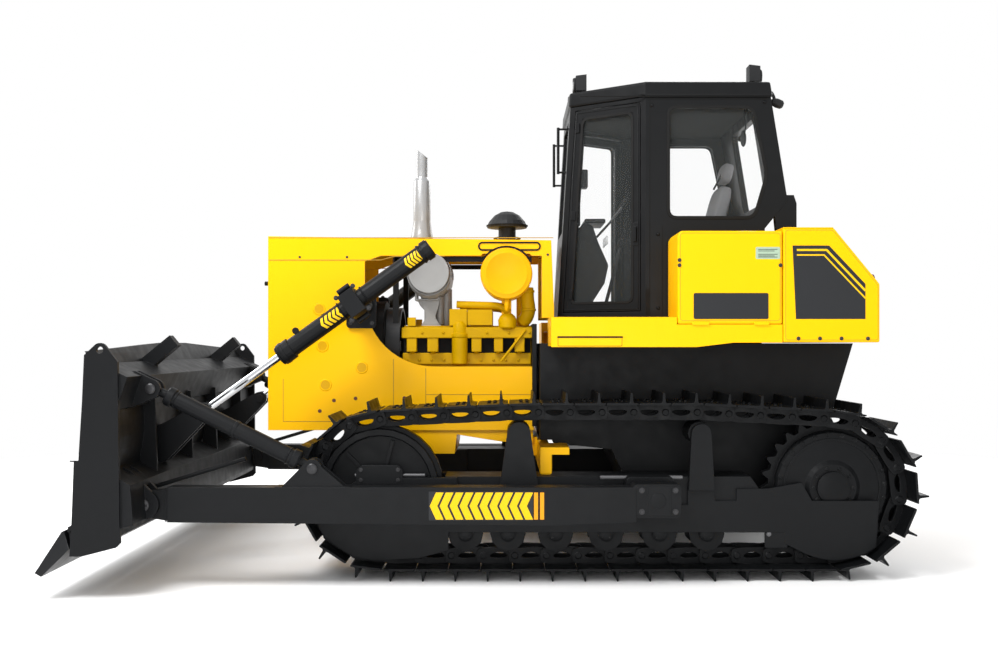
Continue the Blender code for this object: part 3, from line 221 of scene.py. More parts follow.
def swept(path, radius, sides=10, flat=(0, 1, 0)):
    """A tube along a line: at each point a circle square to the line's direction, measured from
    the direction that is square to it and to a fixed one."""
    path = np.asarray(path, float)
    way = np.gradient(path, axis=0)
    way /= np.linalg.norm(way, axis=1)[:, None]
    u = np.cross(way, flat)
    u /= np.linalg.norm(u, axis=1)[:, None]
    v = np.cross(way, u)
    t = np.linspace(0, 2 * math.pi, sides, endpoint=False)
    radius = np.broadcast_to(np.asarray(radius, float), (len(path),))
    spokes = np.cos(t)[None, :, None] * u[:, None] + np.sin(t)[None, :, None] * v[:, None]
    return solid(path[:, None] + radius[:, None, None] * spokes)


def copies(shape, offsets):
    """The same shape moved by each offset."""
    points, faces = shape
    offsets = np.atleast_2d(np.asarray(offsets, float))
    moved = (points[None] + offsets[:, None]).reshape(-1, 3)
    count = len(points)
    return moved, [[corner + k * count for corner in face] for k in range(len(offsets)) for face in faces]


def bolts(centres, radius, height, direction=(0, 1, 0)):
    """Hexagon heads on washers, standing along a direction."""
    direction = np.asarray(direction, float)
    washer = turned([(0, 1.35 * radius), (0.22 * height, 1.35 * radius)], (0, 0, 0), direction, 12)
    head = turned([(0, radius), (0.85 * height, radius), (height, 0.82 * radius)], (0, 0, 0), direction, 6)
    return [copies(washer, centres), copies(head, centres)]


def sided(shapes, side):
    """The shapes with y multiplied by side, and their faces turned round where that mirrors them."""
    if side > 0:
        return shapes
    return [(points * (1, side, 1), [face[::-1] for face in faces]) for points, faces in shapes]


def pillow(low, high, sharpness=0.42, across=28, up=18, crown=0.0):
    """A stuffed block: x = a c(u, e) c(v, e), y = b c(u, e) s(v, e), z = h s(u, e), where c and s are
    the cosine and sine with their size raised to a power e; crown lifts the middle of its top."""
    low, high = np.asarray(low, float), np.asarray(high, float)
    middle, half = (low + high) / 2, (high - low) / 2
    u = np.linspace(-math.pi / 2 + 0.09, math.pi / 2 - 0.09, up)[:, None]
    v = np.linspace(0, 2 * math.pi, across, endpoint=False)[None]

    def eased(value, power):
        return np.sign(value) * np.abs(value) ** power

    ring = eased(np.cos(u), sharpness * 0.8)
    x = ring * eased(np.cos(v), sharpness)
    y = ring * eased(np.sin(v), sharpness)
    z = eased(np.sin(u), sharpness * 1.3) + 0 * v
    z = z + crown * (z > 0) * (1 - x**2) * (1 - y**2)
    return solid(middle + half * np.stack([x, y, z], -1))


# --- finishes ----------------------------------------------------------------------------------

MIX = {"data_type": "RGBA"}  # its sockets 6 and 7 are the two colours, its output 2 the mix
PATCH_SCALE = 11.0  # of the patches in which the gloss and the rubbed edges vary


def linked(tree, kind, settings=(), values=(), inputs=()):
    """A new node with its settings, its sockets' values and the outputs that feed it."""
    made = tree.nodes.new(kind)
    for name, value in dict(settings).items():
        setattr(made, name, value)
    for name, value in dict(values).items():
        made.inputs[name].default_value = value
    for name, source in dict(inputs).items():
        tree.links.new(source, made.inputs[name])
    return made


def ranged(tree, source, low, high, first=0.0, last=1.0):
    """The source's value, carried from low..high to first..last and held there."""
    values = {"From Min": low, "From Max": high, "To Min": first, "To Max": last}
    return linked(tree, "ShaderNodeMapRange", values=values, inputs={"Value": source}).outputs["Result"]


def times(colour, share):
    return tuple(share * c for c in colour)


def finish(
    name,
    colour,
    roughness,
    metallic=0.0,
    drift=0.06,
    drift_scale=1.8,
    gloss_drift=0.06,
    grain=0.03,
    grain_scale=160.0,
    grain_depth=0.0006,
    rounding=0.0,
    worn=None,
    wear=0.5,
    specular=0.5,
    alpha=1.0,
):
    """A finish whose colour drifts slowly over the piece, whose gloss varies in patches, whose
    skin has a fine grain, and whose edges are eased and may be rubbed to a second colour."""
    made = bpy.data.materials.new(name)
    made.use_nodes = True
    tree = made.node_tree
    tree.nodes.clear()
    place = linked(tree, "ShaderNodeTexCoord").outputs["Object"]
    clouds, patches, fine = (
        linked(
            tree, "ShaderNodeTexNoise", values={"Scale": scale, "Detail": detail}, inputs={"Vector": place}
        )
        for scale, detail in ((drift_scale, 5.0), (PATCH_SCALE, 3.0), (grain_scale, 2.0))
    )
    dark = [*times(colour, 1 - drift), 1]
    pale = [min(1, c * (1 + drift)) for c in colour] + [1]
    tint = linked(tree, "ShaderNodeMix", MIX, {6: dark, 7: pale}, {"Factor": clouds.outputs["Fac"]})
    skin = tint.outputs[2]
    eased = None
    if rounding:
        eased = linked(tree, "ShaderNodeBevel", {"samples": 4}, {"Radius": rounding}).outputs["Normal"]
    if worn and eased:
        flat = linked(tree, "ShaderNodeNewGeometry").outputs["Normal"]
        turn = linked(tree, "ShaderNodeVectorMath", {"operation": "DOT_PRODUCT"}, inputs={0: eased, 1: flat})
        edge = ranged(tree, turn.outputs["Value"], 0.995, 0.8, 0.0, wear)
        broken = ranged(tree, patches.outputs["Fac"], 0.42, 0.62)
        share = linked(tree, "ShaderNodeMath", {"operation": "MULTIPLY"}, inputs={0: edge, 1: broken})
        feeds = {"Factor": share.outputs["Value"], 6: skin}
        skin = linked(tree, "ShaderNodeMix", MIX, {7: (*worn, 1)}, feeds).outputs[2]
    smooth, rough = max(0.02, roughness - gloss_drift), roughness + gloss_drift
    gloss = ranged(tree, patches.outputs["Fac"], 0.3, 0.7, smooth, rough)
    bump = linked(
        tree, "ShaderNodeBump", values={"Strength": grain * 10, "Distance": grain_depth},
        inputs={"Height": fine.outputs["Fac"]}
    )
    if eased:
        tree.links.new(eased, bump.inputs["Normal"])
    shader = linked(
        tree,
        "ShaderNodeBsdfPrincipled",
        values={"Metallic": metallic, "Specular IOR Level": specular, "Alpha": alpha},
        inputs={"Base Color": skin, "Roughness": gloss, "Normal": bump.outputs["Normal"]},
    )
    linked(tree, "ShaderNodeOutputMaterial", inputs={"Surface": shader.outputs["BSDF"]})
    return made


def woven(name, colour, pitch=0.0035):
    """A woven cover: two sets of threads cross as sine waves of the place, and lift the skin."""
    made = finish(name, colour, 0.85, drift=0.1, drift_scale=9.0, grain=0.05, grain_scale=260.0, specular=0.2)
    tree = made.node_tree
    bump = next(n for n in tree.nodes if n.bl_idname == "ShaderNodeBump")
    place = next(n for n in tree.nodes if n.bl_idname == "ShaderNodeTexCoord").outputs["Object"]
    height = None
    for direction in ("Y", "Z"):
        wave = linked(
            tree,
            "ShaderNodeTexWave",
            {"wave_type": "BANDS", "bands_direction": direction, "wave_profile": "SIN"},
            {"Scale": 0.3142 / pitch, "Distortion": 0.4},
            {"Vector": place},
        )
        if height is None:
            height = wave.outputs["Fac"]
        else:
            feeds = {0: height, 1: wave.outputs["Fac"]}
            height = linked(tree, "ShaderNodeMath", {"operation": "MAXIMUM"}, inputs=feeds).outputs["Value"]
    tree.links.new(height, bump.inputs["Height"])
    bump.inputs["Distance"].default_value = 0.0012
    return made


FINISHES = {}


def colour_of(name):
    return tuple(getattr(bpy.context.scene.bulldozer_colours, name))


def mix_finishes():
    """Every finish by its plain name."""
    yellow, black, engine = colour_of("body"), colour_of("black_parts"), colour_of("engine")
    FINISHES.update(
        body=finish(
            "body enamel", yellow, 0.34, drift=0.02, grain=0.018, grain_scale=70.0, rounding=0.005,
            specular=0.11
        ),
        # painted shade: the body yellow darkened, for the hollow of the guard dimples
        sunk=finish("pressed enamel", times(yellow, 0.66), 0.4, drift=0.05, specular=0.15),
        # painted shade: the body yellow darkened, for the shade on the air cleaner cover
        cover=finish(
            "cover enamel", (0.82 * yellow[0], 0.78 * yellow[1], 0.0), 0.36, drift=0.1, drift_scale=6.0,
            grain=0.03, specular=0.12
        ),
        zinc=finish("zinc tube", (0.12, 0.12, 0.125), 0.35, metallic=0.5, drift=0.1),
        # painted shade: the body yellow darkened, for the shade in panel seams and along the hood's crease
        panel_line=finish("panel seam", times(yellow, 0.42), 0.5),
        shade=finish("dark recess", (0.006, 0.006, 0.006), 0.8, specular=0.2),
        plug=finish("red-brown plug", (0.1, 0.012, 0.004), 0.5),
        black=finish(
            "black enamel", black, 0.46, drift=0.16, grain=0.03, rounding=0.007, specular=0.15,
            worn=times(black, 6), wear=0.35
        ),
        cab=finish(
            "cab enamel", times(black, 0.75), 0.36, drift=0.12, grain=0.02, rounding=0.008, specular=0.19
        ),
        track=finish(
            "track steel", times(black, 0.9), 0.42, metallic=0.2, drift=0.3, drift_scale=4.0,
            gloss_drift=0.12, grain=0.06, rounding=0.004, worn=(0.1, 0.1, 0.1), wear=0.5, specular=0.16
        ),
        edge=finish(
            "hardened edge", times(black, 1.6), 0.36, metallic=0.3, specular=0.25, drift=0.25, rounding=0.006,
            worn=(0.22, 0.22, 0.22), wear=0.6
        ),
        bolt=finish("dark bolt", (0.03, 0.03, 0.032), 0.36, metallic=0.5, drift=0.15, drift_scale=20.0),
        chrome=finish(
            "chrome rod", (0.62, 0.63, 0.65), 0.1, metallic=1.0, drift=0.03, gloss_drift=0.03, grain=0.0
        ),
        stack=finish(
            "brushed stack", (0.36, 0.365, 0.37), 0.32, metallic=0.6, drift=0.08, drift_scale=6.0, grain=0.01,
            grain_scale=90.0
        ),
        muffler=finish(
            "heat-proof silver", (0.27, 0.266, 0.258), 0.46, metallic=0.15, drift=0.08, drift_scale=7.0,
            grain=0.06, rounding=0.006
        ),
        engine=finish(
            "engine enamel", engine, 0.4, drift=0.22, drift_scale=5.0, grain=0.05, rounding=0.005,
            specular=0.08
        ),
        rubber=finish("rubber", (0.008, 0.008, 0.008), 0.72, drift=0.2, grain=0.08, specular=0.18),
        # a dark cab lining, which also paints shade on the cab's inner walls and ceiling
        lining=finish("cab lining", (0.016, 0.0165, 0.017), 0.9, drift=0.1, specular=0.04),
        plastic=finish(
            "moulded plastic", (0.014, 0.0145, 0.0155), 0.5, specular=0.25, drift=0.1, grain=0.1,
            grain_scale=420.0
        ),
        glass=finish(
            "cab glass", (0.55, 0.6, 0.6), 0.03, drift=0.02, gloss_drift=0.01, grain=0.0, alpha=0.02,
            specular=0.5
        ),
        lens=finish(
            "lamp lens", (0.75, 0.77, 0.78), 0.1, drift=0.03, grain=0.12, grain_scale=90.0, metallic=0.35
        ),
        sticker_yellow=finish("yellow marking", (0.8, 0.49, 0.006), 0.4, drift=0.04, specular=0.15),
        sticker_orange=finish("orange marking", (0.75, 0.3, 0.01), 0.4, drift=0.04, specular=0.15),
        sticker_dark=finish(
            "charcoal marking", (0.02, 0.021, 0.023), 0.42, drift=0.05, grain=0.02, specular=0.2
        ),
        sticker_green=finish("pale notice", (0.34, 0.46, 0.33), 0.45, drift=0.12, drift_scale=60.0),
        seat=woven("seat cloth", colour_of("seat")),
        piping=finish("seat piping", times(colour_of("seat"), 0.35), 0.6),
    )


def coat_frame():
    """Gives each piece of the frame its finish."""
    plan = {
        "body": "hood side_panel_ battery_box hydraulic_tank fuel_tank platform_ main_frame radiator_guard "
        "air_cleaner",
        "black": "blade push_arm_ brace_ lift_barrel_ cylinder_bracket_ track_frame_ idler_ rear_case "
        "drawbar grille",
        "cab": "cab_frame cab_roof door_left door_right",
        "track": "track_left track_right sprocket_ roller_bank_",
        "edge": "cutting_edge",
        "chrome": "lift_rod_",
        "stack": "exhaust_stack",
        "muffler": "muffler",
        "engine": "engine_block",
        "shade": "radiator",
        "plastic": "front_lamps rear_lamps precleaner",
        "rubber": "console",
        "glass": "windscreen rear_window side_window_ door_glass_",
        "seat": "seat",
    }
    for name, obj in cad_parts.items():
        best = max(
            (
                key
                for key in plan
                for word in plan[key].split()
                if name == word or (word.endswith("_") and name.startswith(word))
            ),
            default=None,
        )
        if best is None:
            raise RuntimeError(f"{name} has no finish")
        for slot in obj.material_slots:
            slot.material = FINISHES[best]


def piece(name, shapes, finish_name, body=ROOT, rounding=0.0, angle=38.0):
    """One object from closed shapes, riding on a body of the frame."""
    points, faces, used = [], [], 0
    for part_points, part_faces in shapes:
        points.append(part_points)
        faces += [[corner + used for corner in face] for face in part_faces]
        used += len(part_points)
    mesh = bpy.data.meshes.new(name)
    mesh.from_pydata(np.vstack(points).tolist(), [], faces)
    mesh.update()
    mesh.shade_smooth()
    mesh.set_sharp_from_angle(angle=math.radians(angle))
    made = bpy.data.objects.new(name, mesh)
    bpy.context.scene.collection.objects.link(made)
    mesh.materials.append(FINISHES[finish_name])
    if rounding:
        bevel = made.modifiers.new("eased edges", "BEVEL")
        bevel.width, bevel.segments = rounding, 2
        bevel.limit_method, bevel.angle_limit = "ANGLE", math.radians(40)
    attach(made, body)
    return made


def pair(name, shapes, finish_name, body=ROOT, rounding=0.0, angle=38.0):
    """The right-hand shapes and their mirror image as two pieces, each with its side's name. A body
    that ends in _ has the side's name after it too."""
    for side_name, side in SIDES:
        ridden = body + side_name if body.endswith("_") else body
        piece(f"{name}_{side_name}", sided(shapes, side), finish_name, ridden, rounding, angle)


# --- tracks ------------------------------------------------------------------------------------


CARRIER_X = (0.12, 1.36)
CARRIER_TOP = 1.125  # height of the pins over the carrier rollers
ROLLER_X = (-0.245, 0.045, 0.371, 0.716, 1.083, 1.406)
ROLLER_Z = 0.298
SHOE_HALF = 0.28
LINK_REACH, LINK_OFFSET, LINK_HALF = 0.08, 0.026, 0.0115


def pin_centres(sizes):
    """The pins' centres in (x, z), evenly spaced along the line made of an arc round the sprocket,
    the straight lines over both carrier rollers, and an arc round the idler."""
    radius, height = sizes.pin_radius, sizes.axle_height
    rear, front = np.array([sizes.sprocket_x, height]), np.array([sizes.idler_x, height])
    first, last = (np.array([x, CARRIER_TOP]) for x in CARRIER_X)
    to_last, to_first = last - rear, first - front
    leave = math.atan2(to_last[1], to_last[0]) - math.acos(radius / np.linalg.norm(to_last))
    meet = math.atan2(to_first[1], to_first[0]) + math.acos(radius / np.linalg.norm(to_first))
    t = np.linspace(-math.pi / 2, leave, 61)
    behind = rear + radius * np.stack([np.cos(t), np.sin(t)], -1)
    t = np.linspace(meet, 1.5 * math.pi, 61)
    ahead = front + radius * np.stack([np.cos(t), np.sin(t)], -1)
    line = np.vstack([behind, last, first, ahead, behind[:1]])
    walked = np.concatenate([[0], np.cumsum(np.linalg.norm(np.diff(line, axis=0), axis=1))])
    stops = np.linspace(0, walked[-1], sizes.shoes, endpoint=False)
    return np.stack([np.interp(stops, walked, line[:, 0]), np.interp(stops, walked, line[:, 1])], -1)


def along_track(pins, ring, middle):
    """Carries rings of (reach, out, y), measured from each pin towards the next, round the loop:
    x and z are pin + reach a + out n, with a the unit vector to the next pin and n the one that
    points out of the loop."""
    way = np.roll(pins, -1, 0) - pins
    way /= np.linalg.norm(way, axis=1)[:, None]
    out = np.stack([way[:, 1], -way[:, 0]], -1)
    points, faces = ring
    reach, height, depth = points.T
    flat = pins[:, None] + reach[None, :, None] * way[:, None] + height[None, :, None] * out[:, None]
    placed = np.stack([flat[..., 0], middle + np.broadcast_to(depth, flat.shape[:2]), flat[..., 1]], -1)
    count = len(points)
    whole = [[corner + k * count for corner in face[::-1]] for k in range(len(pins)) for face in faces]
    return placed.reshape(-1, 3), whole


def track_chain(side_name, side, sizes):
    pins = pin_centres(sizes)
    pitch = float(np.linalg.norm(pins[1] - pins[0]))
    shoe_profile = [
        (0.004, 0.058),
        (-0.012, 0.064),
        (-0.01, 0.071),
        (0.016, 0.072),
        (0.024, 0.08),
        (0.029, 0.138),
        (0.034, 0.142),
        (0.041, 0.138),
        (0.046, 0.08),
        (0.054, 0.072),
        (pitch - 0.024, 0.072),
        (pitch - 0.016, 0.066),
        (pitch - 0.018, 0.058),
    ]
    shapes = [prism(shoe_profile, -SHOE_HALF, SHOE_HALF, floor_plane)]
    t = np.linspace(0, 2 * math.pi, 18, endpoint=False)
    reach = pitch / 2 + (pitch / 2 + 0.04) * np.sign(np.cos(t)) * np.abs(np.cos(t)) ** 0.55
    height = 0.0015 + 0.056 * np.sign(np.sin(t)) * np.abs(np.sin(t)) ** 0.36
    hole_reach = pitch / 2 + (pitch / 2 - 0.046) * np.cos(t)
    hole_height = 0.008 + (0.03 - 0.02 * (np.sin(t) > 0)) * np.sin(t)
    for hand in (-1, 1):

        def ring(x, z, depth):
            """The link's outline stands nearer the middle at one pin than at the next."""
            share = np.clip((x + 0.02) / (pitch + 0.04), 0, 1)
            share = share * share * (3 - 2 * share)
            return np.stack([x, z, hand * (LINK_REACH + LINK_OFFSET * (0.5 - share)) + depth], -1)

        outer = [ring(reach, height, depth) for depth in (-LINK_HALF, LINK_HALF)]
        hole = [ring(hole_reach, hole_height, depth) for depth in (LINK_HALF, -LINK_HALF)]
        shapes.append(solid(outer + hole, capped=False))
    cross = circle((0, 0), 1, 9)
    ends = ((0.019, -0.112), (0.024, -0.108), (0.024, 0.108), (0.019, 0.112))
    shapes.append(solid([floor_plane(*(radius * cross).T, depth) for radius, depth in ends]))
    for depth in (-0.095, 0.095):
        shapes += [prism(circle((spot, depth), 0.012, 6), 0.071, 0.083) for spot in (0.078, 0.118)]
    chain = [along_track(pins, shape, side * sizes.track_y) for shape in shapes]
    made = piece(f"track_chain_{side_name}", chain, "track", angle=30)
    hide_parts(f"track_{side_name}")


def wheels(sizes):
    """Rings of bolts, hub covers and rims on the sprocket, the idler and the rollers."""
    y, z = sizes.track_y, sizes.axle_height
    x = sizes.sprocket_x
    spots = circle((x, z), 0.362, 24, 4)
    ring = side_plane(*spots.T, y + 0.0995)
    hub = side_plane(*circle((x, z), 0.135, 10).T, y + 0.128)
    shapes = bolts(ring, 0.0125, 0.014) + bolts(hub, 0.01, 0.012)
    shapes.append(stud([(0, 0.115), (0.02, 0.112), (0.026, 0.095), (0.028, 0.03)], (x, y + 0.1285, z), 32))
    shapes.append(tyre((x, z), 0.336, 0.322, y + 0.098, y + 0.109, 48))
    pair("sprocket_bolts", shapes, "track")
    x = sizes.idler_x
    shapes = [tyre((x, z), 0.372, 0.352, y + 0.062, y + 0.072, 48)]
    for turn in range(6):
        t = math.radians(60 * turn + 15)
        spoke = strip([(x + r * math.cos(t), z + r * math.sin(t)) for r in (0.12, 0.33)], 0.026)
        shapes.append(prism(spoke, y + 0.061, y + 0.08))
    shapes.append(stud([(0, 0.07), (0.012, 0.066), (0.014, 0.02)], (x, y + 0.1465, z), 24))
    spots = circle((x, z), 0.052, 6)
    shapes += bolts(side_plane(*spots.T, y + 0.158), 0.007, 0.008)
    pair("idler_ribs", shapes, "black")
    shapes = []
    for cx in ROLLER_X:
        shapes.append(
            stud([(0, 0.052), (0.016, 0.052), (0.024, 0.04), (0.025, 0.012)], (cx, y + 0.1405, ROLLER_Z), 20)
        )
        spots = circle((cx, ROLLER_Z), 0.034, 4, 45)
        shapes += bolts(side_plane(*spots.T, y + 0.1625), 0.0055, 0.007)
    for cx in CARRIER_X:
        shapes.append(
            stud([(0, 0.066), (0.01, 0.064), (0.016, 0.05), (0.017, 0.02)], (cx, y + 0.116, 1.0), 24)
        )
    pair("roller_caps", shapes, "track")


class BULLDOZER_OT_tracks(bpy.types.Operator):
    """Links, shoes, pins and the fittings of the track wheels"""

    bl_idname = "bulldozer.tracks"
    bl_label = "Tracks"

    def execute(self, context):
        for side_name, side in SIDES:
            track_chain(side_name, side, context.scene.bulldozer_sizes)
        wheels(context.scene.bulldozer_sizes)
        return {"FINISHED"}


# --- markings ----------------------------------------------------------------------------------


def chevron(x, low, high, width, lead):
    """A pointed band in (x, z): its left corner at x, halfway up."""
    middle = (low + high) / 2
    return [
        (x + lead, high),
        (x + lead + width, high),
        (x + width, middle),
        (x + lead + width, low),
        (x + lead, low),
        (x, middle),
    ]


def barrel_chevrons(start, end, radius, count, half_angle=38.0):
    """Pointed bands wrapped on a tube: at angle v from the side the band lies at
    start + (k pitch + lead |v| / v_max) w + radius (cos v y + sin v u)."""
    start, end = np.asarray(start, float), np.asarray(end, float)
    length = float(np.linalg.norm(end - start))
    w = (end - start) / length
    y = np.array([0.0, 1.0, 0.0])
    u = np.cross(y, w)
    pitch = length / (count + 0.6)
    width, lead = 0.62 * pitch, 0.6 * pitch
    v = np.radians(np.linspace(-half_angle, half_angle, 9))
    shapes = []
    for k in range(count):
        along = k * pitch + lead * np.abs(v) / v.max()
        rows = []
        for extra, high in ((0, 0.0004), (0, 0.0016), (width, 0.0016), (width, 0.0004)):
            out = (radius + high) * (np.cos(v)[:, None] * y + np.sin(v)[:, None] * u)
            rows.append(start + (along + extra)[:, None] * w + out)
        shapes.append(solid(np.stack(rows, 1)))
    return shapes


class BULLDOZER_OT_markings(bpy.types.Operator):
    """Chevrons on the push arms and the lift cylinders, and the dark panel on the tank"""

    bl_idname = "bulldozer.markings"
    bl_label = "Markings"

    def execute(self, context):
        sizes = context.scene.bulldozer_sizes
        arm = "push_frame"
        bands = [
            prism(
                chevron(-0.46 + sizes.chevron_pitch * k, 0.465, 0.639, 0.049, 0.04), ARM_FACE + 0.0006,
                ARM_FACE + 0.0018
            )
            for k in range(sizes.chevrons)
        ]
        pair("arm_chevrons", bands, "sticker_yellow", arm)
        base = prism(rounded((-0.466, 0.459), (0.204, 0.645), 0.004, 2), ARM_FACE - 0.0004, ARM_FACE + 0.0006)
        pair("arm_chevron_base", [base], "sticker_dark", arm)
        bars = [
            prism(
                [(x, 0.465), (x + 0.026, 0.465), (x + 0.026, 0.639), (x, 0.639)], ARM_FACE, ARM_FACE + 0.0015
            )
            for x in (0.211, 0.25)
        ]
        pair("arm_bars", bars, "sticker_orange", arm)
        barrel = "lift_barrel_"
        for label, start, end in (
            ("top", (-0.672, 2.15), (-0.552, 2.237)), ("low", (-1.262, 1.7247), (-1.11, 1.8345))
        ):
            begin, stop = (start[0], 0.896, start[1]), (end[0], 0.896, end[1])
            bands = barrel_chevrons(begin, stop, 0.065, 5)
            pair(f"barrel_chevrons_{label}", bands, "sticker_yellow", barrel)
        panel = [(1.961, 2.258), (2.207, 2.258), (2.452, 1.999), (2.452, 1.763), (1.984, 1.763)]
        pair("tank_marking", [prism(panel, BOX_FACE, BOX_FACE + 0.0012)], "sticker_dark")
        stripes = [
            prism(
                strip([(1.99, 2.228), (2.19, 2.228), (2.452, 1.953)], 0.014), BOX_FACE + 0.0008,
                BOX_FACE + 0.002
            ),
            prism(
                strip([(1.99, 2.194), (2.173, 2.194), (2.452, 1.902)], 0.01), BOX_FACE + 0.0008,
                BOX_FACE + 0.002
            ),
        ]
        pair("tank_stripes", stripes, "sticker_yellow")
        notice = prism(rounded((1.713, 2.167), (1.877, 2.248), 0.006, 2), BOX_FACE, BOX_FACE + 0.0012)
        pair("notice", [notice], "sticker_green")
        lines = [
            prism(strip([(1.73, z), (1.86 - 0.02 * (k % 2), z)], 0.004), BOX_FACE + 0.001, BOX_FACE + 0.0016)
            for k, z in enumerate((2.232, 2.221, 2.199, 2.188, 2.18))
        ]
        pair("notice_lines", lines, "sticker_dark")
        plate = prism(rounded((1.295, 1.763), (1.799, 1.938), 0.01, 3), BOX_FACE, BOX_FACE + 0.003)
        pair("blank_plate", [plate], "sticker_dark", rounding=0.001)
        return {"FINISHED"}


# --- hood --------------------------------------------------------------------------------------


class BULLDOZER_OT_hood(bpy.types.Operator):
    """Pressed dimples, plugs, seams, bolts and the edging of the hood and its side guards"""

    bl_idname = "bulldozer.hood"
    bl_label = "Hood and guards"

    def execute(self, context):
        middles = [
            (x, HOOD_FACE - 0.0003, z)
            for x, z in ((-1.36, 1.856), (-1.336, 1.58), (-1.0425, 1.419), (-1.313, 1.289))
        ]
        pressed = [
            (0, 0.047), (0.0035, 0.043), (0.004, 0.039), (0.0022, 0.034), (0.0008, 0.022), (0.0006, 0.004)
        ]
        dimples = [stud(pressed, middle, 28) for middle in middles]
        pair("guard_dimples", dimples, "body", angle=60)
        # painted shade: a darker disc in the hollow of each dimple
        dished = [(0, 0.0375), (0.0028, 0.0375), (0.0024, 0.026), (0.0016, 0.006)]
        dishes = [stud(dished, middle, 28) for middle in middles]
        pair("guard_dishes", dishes, "sunk", angle=60)
        # painted shade: dark bands just inside the hood's skirts, where the hood's inside lies in shade
        lining = [
            block((-0.8, 0.405, 2.212), (0.225, 0.436, 2.248)),
            block((-0.812, 0.405, 1.75), (-0.77, 0.436, 2.24))
        ]
        pair("bay_lining", lining, "shade")
        plugs = [
            stud([(0, 0.014), (0.001, 0.014), (0.0015, 0.009), (0.0016, 0.003)], (x, HOOD_FACE, z), 16)
            for x, z in ((-1.25, 1.174), (-1.089, 1.189), (-1.356, 1.095), (-0.725, 1.192))
        ]
        pair("guard_plugs", plugs, "plug")
        # painted shade: darker strips along the guard seams
        seams = [
            strip([(-1.629, 1.336), (-1.629, 1.017), (-1.216, 1.017)], 0.005),
            strip([(-0.806, 1.483), (-0.806, 1.133)], 0.005),
            strip([(-0.565, 1.416), (-0.565, 1.118)], 0.005),
            strip([(-0.565, 1.218), (0.235, 1.218)], 0.005),
            strip([(-1.735, 2.222), (-0.9, 2.222), (-0.8, 2.25), (-0.42, 2.252)], 0.006),
        ]
        pair("guard_seams", [prism(s, HOOD_FACE, HOOD_FACE + 0.0008) for s in seams], "panel_line")
        spots = [(-1.506, HOOD_FACE, 2.244), (-1.153, HOOD_FACE, 2.244), (0.345, HOOD_FACE, 2.262)]
        pair("hood_bolts", bolts(spots, 0.007, 0.006), "bolt")
        edge = rounded((-0.17, 2.297), (0.287, 2.352), 0.0274, 6)
        edging = [hollow(grown(edge, 0.006), grown(edge, -0.006), HOOD_FACE - 0.001, HOOD_FACE + 0.006)]
        pair("hood_edging", edging, "rubber")
        # painted shade: a darker strip along the hood's crease
        brow = prism(strip([(-1.735, 2.388), (0.386, 2.388)], 0.006), HOOD_FACE - 0.0004, HOOD_FACE + 0.001)
        pair("hood_crease", [brow], "panel_line")
        stub = [rod((-1.782, y, 2.05), (-1.735, y, 2.05), 0.016) for y in (0.38, -0.38)]
        piece("guard_stubs", stub, "rubber")
        bars = [
            block((-1.7445, -0.345, z), (-1.7325, 0.345, z + 0.012)) for z in np.arange(1.09, 2.08, 0.055)
        ]
        piece("grille_slats", bars, "black", rounding=0.002)
        return {"FINISHED"}


# --- engine ------------------------------------------------------------------------------------


